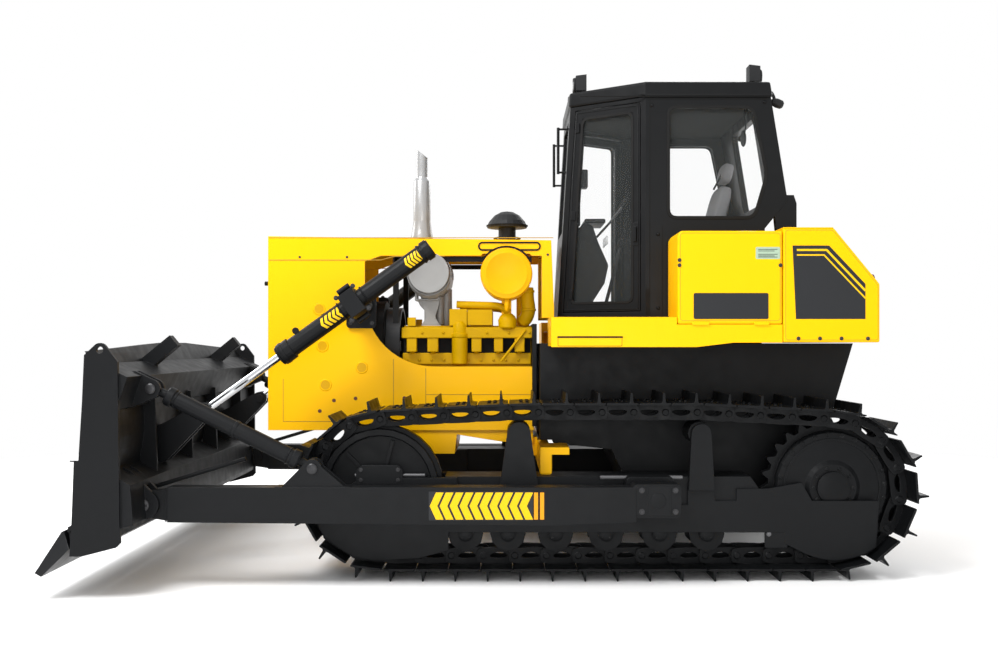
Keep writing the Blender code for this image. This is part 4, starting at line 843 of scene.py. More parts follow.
class BULLDOZER_OT_engine(bpy.types.Operator):
    """Manifold, filters, pipes, hoses, bolts and covers in the open bay"""

    bl_idname = "bulldozer.engine"
    bl_label = "Engine"

    def execute(self, context):
        gap = [block((-0.745, 0.2695, 1.528), (0.222, 0.2725, 1.64))]
        pair("port_shadow", gap, "shade")
        shapes = [block((-0.754, 0.275, 1.64), (0.256, 0.36, 1.722))]
        for x0, x1 in ((-0.709, -0.65), (-0.553, -0.487), (-0.219, -0.16), (-0.049, 0.003), (0.107, 0.167)):
            bend = ((0.315, 1.66), (0.325, 1.6), (0.3, 1.545), (0.262, 1.53))
            path = curved([((x0 + x1) / 2, y, z) for y, z in bend])
            shapes.append(swept(path, 0.02, 12, (1, 0, 0)))
            shapes.append(block((x0 - 0.008, 0.273, 1.535), (x1 + 0.008, 0.35, 1.645)))
        shapes.append(block((-0.752, 0.272, 1.44), (0.224, 0.296, 1.528)))
        pair("manifold", shapes, "engine", rounding=0.006)
        heads = [(x, 0.2965, 1.474) for x in np.arange(-0.72, 0.22, 0.094)]
        heads += [(x, 0.36, 1.681) for x in (-0.6, -0.44, -0.11, 0.055, 0.21)]
        pair("engine_bolts", bolts(heads, 0.008, 0.01), "engine")
        oil = [
            (0, 0.04), (0.012, 0.058), (0.205, 0.06), (0.214, 0.068), (0.236, 0.068), (0.244, 0.056),
            (0.3, 0.054), (0.33, 0.03)
        ]
        shapes = [stud(oil, (-0.317, 0.33, 1.436), 28, UP)]
        shapes += [
            block((-0.394, 0.277, 1.734), (-0.262, 0.352, 1.86)),
            block((-0.258, 0.277, 1.738), (-0.07, 0.345, 1.856))
        ]
        upper = curved([
            (-0.341, 0.3, 1.895), (-0.18, 0.305, 1.89), (-0.011, 0.3, 1.88), (0.055, 0.292, 1.835)
        ])
        shapes.append(swept(upper, 0.028, 14))
        lump = [(0, 0.045), (0.015, 0.066), (0.07, 0.072), (0.1, 0.058), (0.12, 0.036)]
        shapes.append(stud(lump, (0.045, 0.33, 1.705), 20, UP))
        elbow = curved([
            (0.19, 0.3, 2.02), (0.196, 0.305, 1.93), (0.205, 0.3, 1.86), (0.19, 0.285, 1.8),
            (0.16, 0.262, 1.765)
        ])
        shapes.append(swept(elbow, 0.052, 16))
        for z, x in ((1.985, 0.192), (1.845, 0.204)):
            shapes.append(
                stud([(0, 0.052), (0.002, 0.058), (0.018, 0.058), (0.02, 0.052)], (x, 0.303, z), 20, UP)
            )
        shapes.append(rod((-0.004, 0.365, 1.465), (0.181, 0.365, 1.702), 0.01))
        shapes.append(block((-0.71, 0.3, 1.732), (-0.65, 0.345, 1.796)))
        pair("engine_fittings", shapes, "engine", rounding=0.004)
        funnel = [
            (-0.645, 1.935), (-0.495, 1.935), (-0.515, 1.89), (-0.545, 1.855), (-0.545, 1.775),
            (-0.524, 1.74), (-0.612, 1.74), (-0.592, 1.775), (-0.592, 1.855), (-0.625, 1.89)
        ]
        pedestal = [prism(funnel, -0.235, -0.165), block((-0.66, -0.29, 1.925), (-0.48, -0.11, 1.94))]
        for leg in (-0.652, -0.488):
            for y in (-0.28, -0.13):
                pedestal.append(block((leg - 0.008, y - 0.008, 1.93), (leg + 0.008, y + 0.008, 2.06)))
        pedestal.append(rod((-0.478, -0.15, 1.742), (-0.478, -0.15, 2.06), 0.034, 20))
        piece("muffler_stand", pedestal, "muffler", rounding=0.004)
        hub_z = 1.58
        fan = [tyre((0, hub_z), 0.3, 0.275, -0.885, -0.775, 40, front_plane)]
        for k in range(7):
            t = 2 * math.pi * k / 7
            blade = strip([(r * math.cos(t), hub_z + r * math.sin(t)) for r in (0.05, 0.26)], 0.085)
            fan.append(prism(blade, -0.822, -0.812, front_plane))
        fan.append(stud([(0, 0.06), (0.05, 0.055), (0.06, 0.03)], (-0.86, 0, hub_z), 20, BACK))
        piece("fan_and_shroud", fan, "plastic", rounding=0.002)
        return {"FINISHED"}


class BULLDOZER_OT_breathing(bpy.types.Operator):
    """Air cleaner cover, dust bowl, muffler bands and stack fittings"""

    bl_idname = "bulldozer.breathing"
    bl_label = "Air and exhaust"

    def execute(self, context):
        x, z = 0.036, 2.118
        cover = [
            (0, 0.187), (0.003, 0.189), (0.007, 0.187), (0.009, 0.18), (0.008, 0.16), (0.0105, 0.156),
            (0.0105, 0.15), (0.008, 0.146), (0.009, 0.01)
        ]
        shapes = [turned(cover, (x, -0.5153, z), (x, -1, z), 56)]
        shapes += [tyre((x, z), 0.1945, 0.1905, y, y + 0.025, 56) for y in (-0.47, -0.33)]
        spout = [(0, 0.02), (0.004, 0.024), (0.085, 0.018), (0.095, 0.01)]
        shapes.append(turned(spout, (x + 0.004, -0.48, 1.935), (x + 0.004, -0.48, 1), 16))
        # the cover finish is painted shade on the air cleaner cover
        piece("air_cleaner_cover", shapes, "cover", angle=50)
        arch = np.linspace(math.radians(25), math.radians(155), 20)
        line = np.stack([x + 0.205 * np.cos(arch), z + 0.205 * np.sin(arch)], -1)
        piece("air_cleaner_arch", [prism(strip(line, 0.01), -0.4645, -0.4545)], "rubber")
        centre = np.array([0.043, 0.0])
        bands = [
            tyre(centre, 0.1075, 0.101, 2.42, 2.432, 40, floor_plane),
            tyre(centre, 0.164, 0.15, 2.52, 2.53, 48, floor_plane),
        ]
        piece("precleaner_bands", bands, "rubber", rounding=0.002)
        mx, mz = -0.544, 2.127
        shapes = [tyre((mx, mz), 0.1655, 0.16, y, y + 0.022, 48) for y in (-0.43, -0.3, -0.12, 0.02)]
        rim = [(0, 0.155), (0.006, 0.15), (0.007, 0.12), (0.004, 0.112), (0.01, 0.06), (0.011, 0.01)]
        shapes.append(turned(rim, (mx, -0.45, mz), (mx, -1, mz), 48))
        piece("muffler_bands", shapes, "muffler")
        sx = -0.627
        heights, radii = np.transpose([
            (2.3935, 0.092), (2.4, 0.093), (2.47, 0.08), (2.56, 0.0665), (2.566, 0.067), (2.872, 0.067),
            (2.88, 0.064), (2.9, 0.0465), (2.91, 0.046), (2.99, 0.046), (3.06, 0.046)
        ])
        t = np.linspace(0, 2 * math.pi, 56, endpoint=False)
        outer = floor_plane(sx + radii[:, None] * np.cos(t), radii[:, None] * np.sin(t), heights[:, None])
        slant = [
            floor_plane(sx + r * np.cos(t), r * np.sin(t), 3.0905 - 0.795 * r * np.cos(t))
            for r in (0.046, 0.0415)
        ]
        bore = floor_plane(sx + 0.0415 * np.cos(t), 0.0415 * np.sin(t), 2.93)
        stack = piece("stack_pipe", [solid(np.concatenate([outer, [*slant, bore]]))], "stack", angle=50)
        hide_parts("exhaust_stack")
        clamp = [tyre((sx, 0), 0.083, 0.07, 2.405, 2.427, 40, floor_plane)]
        clamp.append(rod((sx - 0.02, -0.085, 2.416), (sx + 0.03, -0.085, 2.416), 0.006))
        piece("stack_clamp", clamp, "bolt")
        return {"FINISHED"}


# --- lift --------------------------------------------------------------------------------------


class BULLDOZER_OT_lift(bpy.types.Operator):
    """Yoke bands, glands, lugs and bolts on the lift cylinders"""

    bl_idname = "bulldozer.lift"
    bl_label = "Lift cylinders"

    def execute(self, context):
        trunnion, eye = np.array([-1.044, 0.896, 1.882]), np.array([-2.093, 0.896, 1.125])
        w = (eye - trunnion) / np.linalg.norm(eye - trunnion)
        up = np.cross((0, 1, 0), w)
        barrel = "lift_barrel_"
        shapes = []
        for along, radius, length in (
            (0.535, 0.074, 0.045), (0.585, 0.081, 0.03), (0.628, 0.07, 0.016), (-0.6, 0.072, 0.02),
            (-0.105, 0.0735, 0.012), (0.093, 0.0735, 0.012)
        ):
            shapes.append(stud(collar(radius, length, 0.004), trunnion + w * along, 32, w))
        for hand in (-1, 1):
            centre = trunnion + up * hand * 0.122
            shapes.append(rod(centre - w * 0.05, centre + w * 0.05, 0.02))
        pair("cylinder_rings", shapes, "black", barrel, rounding=0.001)
        spots = [trunnion + w * a + up * b + (0, 0.062, 0) for a in (-0.072, 0.072) for b in (-0.095, 0.095)]
        pair("yoke_bolts", bolts(spots, 0.013, 0.013), "bolt", barrel)
        lug = trunnion + w * 0.445 + up * 0.082
        ring = stud([(0, 0.024), (0.016, 0.024)], lug - (0, 0.008, 0), 18)
        pair("cylinder_lug", [ring], "black", barrel, rounding=0.001)
        rod_body = "lift_rod_"
        cap = [(0, 0.03), (0.006, 0.03), (0.01, 0.022), (0.011, 0.006)]
        caps = [stud(cap, eye + (0, 0.0302, 0), 20)]
        pair("rod_eye_cap", caps, "bolt", rod_body)
        pad = [(-1.124, 0.483, 1.752), (-0.964, 0.483, 1.752), (-1.124, 0.483, 1.945), (-0.964, 0.483, 1.945)]
        pair("bracket_bolts", bolts(pad, 0.012, 0.012), "bolt", ROOT)
        return {"FINISHED"}


# --- cab ---------------------------------------------------------------------------------------

DOOR_LINE = ((1.03, 0.8), (0.42, 0.37))  # the door wall's rear and front corners in (x, y)


def door_plane(along, height, depth):
    """Places (along, height, depth) on the right door's wall: along runs forwards from its rear
    corner, and depth outwards."""
    (x0, y0), (x1, y1) = DOOR_LINE
    length = math.hypot(x1 - x0, y1 - y0)
    ax, ay = (x1 - x0) / length, (y1 - y0) / length
    return np.stack(
        np.broadcast_arrays(x0 + ax * along + ay * depth, y0 + ay * along - ax * depth, height), -1
    )


class BULLDOZER_OT_cab(bpy.types.Operator):
    """Window seals, hinges, handles, lamps and the lines of the cab's skin"""

    bl_idname = "bulldozer.cab"
    bl_label = "Cab outside"

    def execute(self, context):
        glass = [(0.107, 1.897), (0.6237, 1.897), (0.5232, 3.263), (0.107, 3.263)]
        door = "door_"
        seal = softened(glass, 0.05)
        shapes = [hollow(grown(seal, 0.01), grown(seal, -0.01), -0.006, 0.004, door_plane)]
        pair("door_seal", shapes, "rubber", door, rounding=0.002)
        leaf = [(0.052, 1.842), (0.679, 1.842), (0.581, 3.318), (0.052, 3.318)]
        shapes = [hollow(grown(leaf, -0.004), grown(leaf, -0.012), -0.003, 0.003, door_plane)]
        shapes.append(prism(rounded((0.058, 2.3), (0.1, 2.47), 0.01), -0.002, 0.006, door_plane))
        shapes.append(prism(rounded((0.066, 2.33), (0.092, 2.44), 0.008), 0.006, 0.024, door_plane))
        pair("door_trim", shapes, "cab", door, rounding=0.0015)
        hinge = []
        for z in (1.96, 2.55, 3.2):
            x = 0.612 - 0.05 * (z - 1.9)
            hinge.append(
                prism(rounded((x, z - 0.035), (x + 0.036, z + 0.035), 0.005), -0.002, 0.01, door_plane)
            )
        pair("hinge_plates", hinge, "cab", door, rounding=0.001)
        window = softened([(1.195, 2.5), (1.195, 3.288), (1.795, 3.288), (1.895, 2.804), (1.805, 2.5)], 0.06)
        shapes = [hollow(grown(window, 0.014), grown(window, -0.01), 0.797, 0.806)]
        pair("window_seal", shapes, "rubber", rounding=0.003)
        shapes = [
            prism(strip([(1.06, 1.79), (1.06, 3.34)], 0.006), CAB_FACE - 0.0005, CAB_FACE + 0.0025),
            prism(strip([(1.15, 1.79), (1.15, 2.44)], 0.006), CAB_FACE - 0.0005, CAB_FACE + 0.0025),
            prism(strip([(1.045, 3.35), (1.905, 3.35)], 0.01), CAB_FACE - 0.0005, CAB_FACE + 0.003),
            prism(rounded((1.03, 1.8), (1.06, 1.99), 0.006), CAB_FACE - 0.0005, CAB_FACE + 0.002),
        ]
        pair("cab_gaps", shapes, "shade")
        spots = [
            (1.12, CAB_FACE, 1.852), (1.12, CAB_FACE, 2.38), (1.075, CAB_FACE, 3.3), (1.88, CAB_FACE, 3.325)
        ]
        pair("cab_bolts", bolts(spots, 0.01, 0.01), "cab")
        stem = curved([(1.925, 0.62, 3.428), (1.962, 0.64, 3.43), (1.978, 0.65, 3.405), (1.99, 0.65, 3.37)])
        lamp = [(0, 0.012), (0.01, 0.026), (0.045, 0.034), (0.08, 0.032), (0.094, 0.02), (0.097, 0.004)]
        shapes = [
            swept(stem, 0.012, 10, (0, 1, 0.1)), turned(lamp, (1.962, 0.65, 3.366), (2.5, 0.65, 3.16), 24)
        ]
        pair("tail_lamp", shapes, "plastic")
        bezel = [(0, 0.06), (0.012, 0.062), (0.022, 0.056), (0.022, 0.048), (0.012, 0.046), (0.011, 0.01)]
        disc = [(0, 0.046), (0.005, 0.04), (0.008, 0.022), (0.009, 0.005)]
        bezels, glass_discs = [], []
        for x, y, facing in ((0.555, 0.31, -1), (1.89, 0.58, 1)):
            bezels.append(stud(bezel, (x - 0.008 * facing, y, 3.553), 32, (facing, 0, 0)))
            glass_discs.append(stud(disc, (x + 0.007 * facing, y, 3.553), 32, (facing, 0, 0)))
        pair("lamp_bezels", bezels, "plastic")
        pair("lamp_glass", glass_discs, "lens")
        hub = bolts([(2.038, 0.6, 2.531)], 0.016, 0.016)
        pair("rear_mount_bolts", hub, "bolt")
        inside, wall = 0.7425, 0.7495  # the lining's own face and the one against the wall
        # dark lining panels round the side windows, on the pillars and on the ceiling, which also paint shade
        # on the inside of the cab
        band = [hollow(grown(window, 0.064), grown(window, 0.003), inside, wall)]
        band.append(block((1.05, inside, 1.835), (1.128, wall, 3.352)))
        band.append(block((1.14, inside, 1.835), (1.82, wall, 2.43)))
        pair("cab_lining", band, "lining")
        ceiling = [
            (0.6, -0.345), (1.035, -0.742), (1.868, -0.742), (1.868, 0.742), (1.035, 0.742), (0.6, 0.345)
        ]
        piece("headliner", [prism(ceiling, 3.352, 3.36, floor_plane)], "lining")
        roof = [prism(strip([(0.56, 3.3625), (1.94, 3.3625)], 0.004), CAB_FACE + 0.002, 0.8145)]
        piece("roof_seal", roof + sided(roof, -1), "rubber")
        return {"FINISHED"}


CORD = 0.005  # the radius of the seat's piping
SEAT_LEAN = math.radians(14)


def leaned(shape, x=1.66, z=2.3):
    """Turns a shape backwards by the seat back's lean about the place (x, z)."""
    points, faces = shape
    dx, dz = points[:, 0] - x, points[:, 2] - z
    c, s = math.cos(SEAT_LEAN), math.sin(SEAT_LEAN)
    return np.stack([x + c * dx + s * dz, points[:, 1], z - s * dx + c * dz], -1), faces


class BULLDOZER_OT_cab_room(bpy.types.Operator):
    """Seat, levers, instrument boxes, mirror and monitor inside the cab"""

    bl_idname = "bulldozer.cab_room"
    bl_label = "Cab inside"

    def execute(self, context):
        base = pillow((1.215, -0.25, 2.215), (1.7, 0.25, 2.365), crown=0.1)
        rest = leaned(pillow((1.56, -0.235, 2.3), (1.665, 0.235, 2.82), 0.38))
        top = leaned(pillow((1.56, -0.13, 2.86), (1.65, 0.13, 3.01), 0.5))
        cushion = piece("seat_cushion", [base], "seat")
        back = piece("seat_back", [rest], "seat")
        head = piece("seat_headrest", [top], "seat")
        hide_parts("seat")
        line = rounded((1.22, -0.245), (1.695, 0.245), 0.09, 6)
        out = line - np.vstack([line, line[:1]]).mean(0)
        out /= np.linalg.norm(out, axis=1)[:, None]
        t = np.linspace(0, 2 * math.pi, 6, endpoint=False)
        flat = line[:, None] + CORD * np.cos(t)[None, :, None] * out[:, None]
        piping = [
            solid(floor_plane(flat[..., 0], flat[..., 1], z + CORD * np.sin(t)), capped=False)
            for z in (2.318, 2.255)
        ]
        piece("seat_piping", piping, "piping")
        frame_parts = [
            rod((1.655, -0.07, 2.8), (1.725, -0.07, 2.93), 0.008),
            block((1.26, -0.19, 1.99), (1.64, 0.19, 2.2)),
            block((1.23, -0.215, 1.832), (1.68, 0.215, 1.87)),
            block((1.3, -0.15, 1.87), (1.6, 0.15, 1.99)),
        ]
        for y in (-0.285, 0.245):
            frame_parts.append(prism(rounded((1.33, 2.47), (1.66, 2.515), 0.02), y, y + 0.04))
            frame_parts.append(rod((1.635, y + 0.02, 2.25), (1.64, y + 0.02, 2.48), 0.012))
        piece("seat_frame", frame_parts, "plastic", rounding=0.006)
        levers = []
        for hand in (-1, 1):
            levers += [
                ((0.76, 0.15 * hand, 2.45), (0.86, 0.16 * hand, 2.56), (0.935, 0.165 * hand, 2.66)),
                ((0.8, 0.06 * hand, 1.84), (0.87, 0.06 * hand, 2.1), (0.93, 0.06 * hand, 2.36)),
                ((1.32, 0.36 * hand, 1.84), (1.3, 0.36 * hand, 2.2), (1.24, 0.36 * hand, 2.51 + 0.01 * hand)),
            ]
        knob = [(0, 0.012), (0.012, 0.022), (0.06, 0.024), (0.085, 0.016), (0.09, 0.006)]
        shapes, knobs = [], []
        for lever in levers:
            line = curved(lever)
            shapes.append(swept(line, 0.009, 8))
            direction = line[-1] - line[-2]
            direction /= np.linalg.norm(direction)
            knobs.append(stud(knob, line[-1] - direction * 0.01, 14, direction))
        piece("lever_rods", shapes, "bolt")
        piece("lever_knobs", knobs, "rubber")
        boxes = [
            block((0.6, -0.26, 2.79), (0.66, -0.15, 2.93)),
            block((0.565, -0.215, 2.5), (0.605, -0.195, 2.86)),
            block((0.64, -0.2, 2.526), (0.8, 0.2, 2.56)),
        ]
        boxes += [block((1.15, y, 1.832), (1.6, y + 0.17, 2.28)) for y in (0.3, -0.47)]
        piece("instrument_boxes", boxes, "plastic", rounding=0.01)
        dial = [(0, 0.034), (0.006, 0.036), (0.008, 0.03), (0.0085, 0.004)]
        dials = [stud(dial, (0.812, y, 2.4), 24, BACK) for y in (-0.14, -0.05, 0.05, 0.14)]
        piece("dials", dials, "lens")
        mirror = [
            turned(
                [(0, 0.055), (0.006, 0.062), (0.012, 0.055), (0.014, 0.006)], (1.8, -0.5, 3.12),
                (1.0, -0.56, 3.08), 28
            )
        ]
        mirror.append(swept(curved([(1.8, -0.5, 3.14), (1.812, -0.5, 3.22), (1.8, -0.5, 3.33)]), 0.006, 8))
        piece("cab_mirror", mirror, "plastic")
        arm = swept(curved([(0.548, 0.02, 2.52), (0.532, 0.1, 2.75), (0.515, 0.16, 2.98)]), 0.006, 8, BACK)
        piece("wiper", [arm], "rubber")
        return {"FINISHED"}


# --- body boxes --------------------------------------------------------------------------------


class BULLDOZER_OT_boxes(bpy.types.Operator):
    """Seams, bolts, latches and caps on the side boxes, the tank and the fenders"""

    bl_idname = "bulldozer.boxes"
    bl_label = "Side boxes and tank"

    def execute(self, context):
        spots = [(1.2, BOX_FACE, 2.16), (1.2, BOX_FACE, 2.125), (1.88, BOX_FACE, 2.125)]
        spots += [(x, BOX_FACE, 1.632) for x in (2.001, 2.146, 2.291, 2.469)]
        pair("box_bolts", bolts(spots, 0.01, 0.009), "bolt")
        latches = [
            prism(rounded((x0, 1.722), (x1, 1.746), 0.005), BOX_FACE - 0.002, BOX_FACE + 0.01)
            for x0, x1 in ((1.284, 1.399), (1.702, 1.803))
        ]
        pair("box_latches", latches, "body", rounding=0.002)
        lid = rounded((1.205, 1.752), (1.878, 2.342), 0.02, 4)
        rear = softened([(1.915, 1.622), (1.915, 2.362), (2.232, 2.362), (2.537, 1.99), (2.537, 1.622)], 0.02)
        # painted shade: darker lines in the seams round the box lid and the tank
        seams = [
            hollow(grown(line, 0.0015), grown(line, -0.0015), BOX_FACE - 0.0004, BOX_FACE + 0.0006)
            for line in (lid, rear)
        ]
        pair("box_seams", seams, "panel_line")
        lip = [(1.899, 2.3735), (2.236, 2.3735), (2.236, 2.381), (1.899, 2.381)]
        pair("tank_lip", [prism(lip, 0.3, BOX_FACE + 0.0015)], "body", rounding=0.002)
        line = rounded((0.382, 1.581), (0.813, 1.642), 0.008, 3)
        raised = [hollow(grown(line, 0.0015), grown(line, -0.0015), BOX_FACE - 0.003, BOX_FACE - 0.0012)]
        raised.append(block((0.378, BOX_FACE - 0.003, 1.636), (0.818, BOX_FACE + 0.001, 1.647)))
        pair("fender_line", raised, "shade")
        treads = [block((x, 0.7, 1.7765), (x + 0.02, 1.22, 1.7815)) for x in np.arange(0.4, 1.15, 0.055)]
        pair("step_treads", treads, "black", rounding=0.002)
        cap = [(0, 0.07), (0.02, 0.07), (0.024, 0.062), (0.05, 0.06), (0.058, 0.052), (0.059, 0.01)]
        caps = [stud(cap, (2.1, 0.62, 2.377), 32, UP), stud(cap, (1.55, 1.0, 2.357), 32, UP)]
        piece("filler_caps", caps, "black", rounding=0.002)
        lamp = [(0, 0.05), (0.02, 0.048), (0.026, 0.036), (0.028, 0.006)]
        lamps = [stud(lamp, (2.549, y, 2.03), 28, BACK) for y in (-1.05, 1.05)]
        piece("tank_lamps", lamps, "plug")
        return {"FINISHED"}


# --- blade and push arms -----------------------------------------------------------------------


class BULLDOZER_OT_blade(bpy.types.Operator):
    """Bolts, welds, ribs, collars and pin caps on the blade, the push arms and the braces"""

    bl_idname = "bulldozer.blade"
    bl_label = "Blade and push arms"

    def execute(self, context):
        body = "push_frame"
        shapes = [
            prism(strip([(-2.575, 0.815), (-2.395, 0.545)], 0.012), 1.8615, 1.8619),
            prism(strip([(-2.665, 0.87), (-2.44, 0.87)], 0.008), 1.8615, 1.8619),
        ]
        pair("end_plate_welds", shapes, "black", body)
        shapes = [prism(strip([(-2.157, 0.45), (-2.157, 0.668)], 0.01), ARM_FACE - 0.0005, ARM_FACE + 0.0015)]
        shapes.append(prism(rounded((0.867, 0.488), (1.16, 0.68), 0.025), ARM_FACE - 0.0045, ARM_FACE))
        shapes.append(prism(strip([(-1.46, 0.67), (-0.98, 0.67)], 0.008), 1.448, 1.572))
        pair("arm_plates", shapes, "black", body, rounding=0.002)
        ribs = [
            block((x, ARM_FACE - 0.004, 0.495), (x + 0.012, ARM_FACE + 0.0008, 0.675)) for x in (0.935, 1.085)
        ]
        ribs.append(
            stud(
                [(0, 0.052), (0.006, 0.05), (0.008, 0.03), (0.0085, 0.006)], (1.012, ARM_FACE - 0.004, 0.585),
                28
            )
        )
        pair("arm_bearing", ribs, "black", body)
        spots = [(x, ARM_FACE, z) for x in (0.905, 1.122) for z in (0.515, 0.652)]
        pair("arm_bolts", bolts(spots, 0.014, 0.014), "bolt", body)
        caps = []
        for (x, z), radius, y in (
            ((-2.303, 0.558), 0.04, 1.5853), ((-2.262, 1.306), 0.034, 1.5662), ((-1.22, 0.79), 0.034, 1.5662)
        ):
            cap = [(0, radius), (0.01, radius), (0.014, radius - 0.005), (0.015, 0.01)]
            caps.append(stud(cap, (x, y, z), 24))
        spokes = circle((-2.303, 0.558), 0.024, 6)
        caps += bolts(side_plane(*spokes.T, 1.6), 0.006, 0.006)
        pair("pin_caps", caps, "bolt", body)
        top, foot = np.array([-2.262, 1.51, 1.306]), np.array([-1.22, 1.51, 0.79])
        length = float(np.linalg.norm(foot - top))
        w = (foot - top) / length
        rings = []
        for along, radius, deep in (
            (0.105, 0.064, 0.05), (0.165, 0.059, 0.012), (length - 0.155, 0.064, 0.05),
            (length - 0.185, 0.059, 0.012), (length * 0.5, 0.058, 0.03)
        ):
            rings.append(stud(collar(radius, deep, 0.005), top + w * along, 28, w))
        pair("brace_collars", rings, "black", body)
        pair("blade_stay", [rod((-2.325, 1.33, 0.64), (-1.7, 1.33, 0.83), 0.015)], "black", body)
        spots = [(-2.746, y, 0.386) for y in np.arange(-1.78, 1.8, 0.178)]
        heads = bolts(spots, 0.015, 0.01, (-0.83, 0, 0.55))
        piece("cutting_edge_bolts", heads, "bolt", body)
        return {"FINISHED"}


class BULLDOZER_OT_undercarriage(bpy.types.Operator):
    """Brackets, grease tube, guards and bolts on the track frames and the case"""

    bl_idname = "bulldozer.undercarriage"
    bl_label = "Undercarriage"

    def execute(self, context):
        shapes = [
            prism(
                softened(
                    [
                        (-0.989, 0.64), (-0.989, 0.735), (-0.945, 0.771), (-0.7, 0.771), (-0.669, 0.735),
                        (-0.669, 0.64)
                    ],
                    0.012
                ),
                1.16, 1.182
            ),
            prism(rounded((-0.56, 0.56), (-0.3, 0.65), 0.01), 1.15, 1.17),
        ]
        pair("idler_bracket", shapes, "black", rounding=0.003)
        spots = [(x, 1.182, z) for x in (-0.955, -0.703) for z in (0.67, 0.74)]
        pair("idler_bracket_bolts", bolts(spots, 0.011, 0.012), "bolt")
        tube = [
            rod((0.67, 1.19, 0.69), (1.23, 1.19, 0.69), 0.013, 16),
            rod((-1.0, 1.15, 0.7), (-0.52, 1.15, 0.7), 0.012, 16)
        ]
        pair("grease_tube", tube, "zinc")
        flap = [prism(rounded((1.795, 0.205), (1.95, 0.36), 0.012), 1.15, 1.168)]
        pair("skirt_flap", flap, "black", rounding=0.002)
        pair("skirt_bolt", bolts([(1.822, 1.168, 0.3)], 0.012, 0.008), "zinc")
        # a black bulkhead plate that also fills the gap behind the hood with painted shade
        bulkhead = [block((0.228, -0.5, 0.985), (0.262, 0.5, 1.745))]
        piece("bulkhead", bulkhead, "black", rounding=0.003)
        return {"FINISHED"}


# --- stage -------------------------------------------------------------------------------------


def area_light(name, place, target, size, power, tone=(1, 1, 1)):
    light = bpy.data.lights.new(name, "AREA")
    light.shape, light.size, light.energy, light.color = "DISK", size, power, tone
    made = bpy.data.objects.new(name, light)
    bpy.context.scene.collection.objects.link(made)
    made.location = place
    way = np.asarray(target, float) - np.asarray(place, float)
    made.rotation_euler = (
        math.acos(-way[2] / np.linalg.norm(way)), 0, math.atan2(way[1], way[0]) - math.pi / 2
    )
    return made


class BULLDOZER_OT_stage(bpy.types.Operator):
    """Pale floor, soft light and the camera"""

    bl_idname = "bulldozer.stage"
    bl_label = "Stage"

    def execute(self, context):
        scene = context.scene
        sizes = scene.bulldozer_sizes
        t = np.linspace(0, 2 * math.pi, 96, endpoint=False)
        radii = np.array([0.02, 3.0, 6.0, 9.5])
        rings = np.stack(
            [radii[:, None] * np.cos(t), radii[:, None] * np.sin(t), np.zeros((len(radii), len(t)))], -1
        )
        index = np.arange(len(radii) * len(t)).reshape(len(radii), len(t))
        quads = np.stack(
            [index[:-1], index[1:], np.roll(index[1:], -1, 1), np.roll(index[:-1], -1, 1)], -1
        ).reshape(-1, 4)
        mesh = bpy.data.meshes.new("studio_floor")
        mesh.from_pydata(rings.reshape(-1, 3).tolist(), [], quads.tolist() + [index[0].tolist()])
        mesh.update()
        floor = bpy.data.objects.new("studio_floor", mesh)
        scene.collection.objects.link(floor)
        mesh.materials.append(
            finish("studio floor", (0.97, 0.97, 0.97), 0.9, drift=0.01, grain=0.0, specular=0.0)
        )
        world = bpy.data.worlds.new("studio")
        scene.world = world
        world.use_nodes = True
        tree = world.node_tree
        tree.nodes.clear()
        place = linked(tree, "ShaderNodeTexCoord").outputs["Generated"]
        height = linked(tree, "ShaderNodeSeparateXYZ", inputs={"Vector": place}).outputs["Z"]
        ramp = linked(tree, "ShaderNodeValToRGB", inputs={"Fac": height})
        ramp.color_ramp.elements[0].position, ramp.color_ramp.elements[0].color = 0.3, (1, 1, 1, 1)
        ramp.color_ramp.elements[1].position, ramp.color_ramp.elements[1].color = 1.0, (0.92, 0.92, 0.92, 1)
        sky = linked(
            tree, "ShaderNodeBackground", values={"Strength": sizes.sky},
            inputs={"Color": ramp.outputs["Color"]}
        )
        linked(tree, "ShaderNodeOutputWorld", inputs={"Surface": sky.outputs["Background"]})
        area_light("key", (-4.2, -5.8, 8.3), (-0.5, 0, 1.0), 4.0, 820 * sizes.key)
        area_light("front fill", (0.0, -11.5, 1.2), (0, 0, 1.0), 5.0, 190 * sizes.key)
        area_light("rear fill", (4.5, 6.5, 6.5), (0.3, 0, 1.6), 5.0, 260 * sizes.key)
        area_light("rim", (-6.5, 3.0, 5.0), (-1.0, 0, 1.2), 3.0, 160 * sizes.key)
        camera = bpy.data.cameras.new("camera")
        camera.sensor_fit, camera.sensor_width = "HORIZONTAL", 36.0
        camera.lens = sizes.lens
        camera.shift_x, camera.shift_y = -0.00461, 0.01323
        camera.clip_end = 300
        eye = bpy.data.objects.new("camera", camera)
        eye.location, eye.rotation_euler = (0.0155, -8.632, 1.59), (math.pi / 2, 0, 0)
        scene.collection.objects.link(eye)
        scene.camera = eye
        scene.view_settings.view_transform = "Standard"
        return {"FINISHED"}


class BULLDOZER_OT_coat(bpy.types.Operator):
    """Mixes the finishes and gives them to the frame"""

    bl_idname = "bulldozer.coat"
    bl_label = "Finishes"

    def execute(self, context):
        mix_finishes()
        coat_frame()
        return {"FINISHED"}


# --- settings ----------------------------------------------------------------------------------


def size_property(name, description, default, unit="LENGTH"):
    return bpy.props.FloatProperty(
        name=name, description=description, default=default, unit=unit, precision=4
    )


def colour_property(name, description, default):
    return bpy.props.FloatVectorProperty(
        name=name, description=description, default=default, size=3, min=0, max=1, subtype="COLOR"
    )


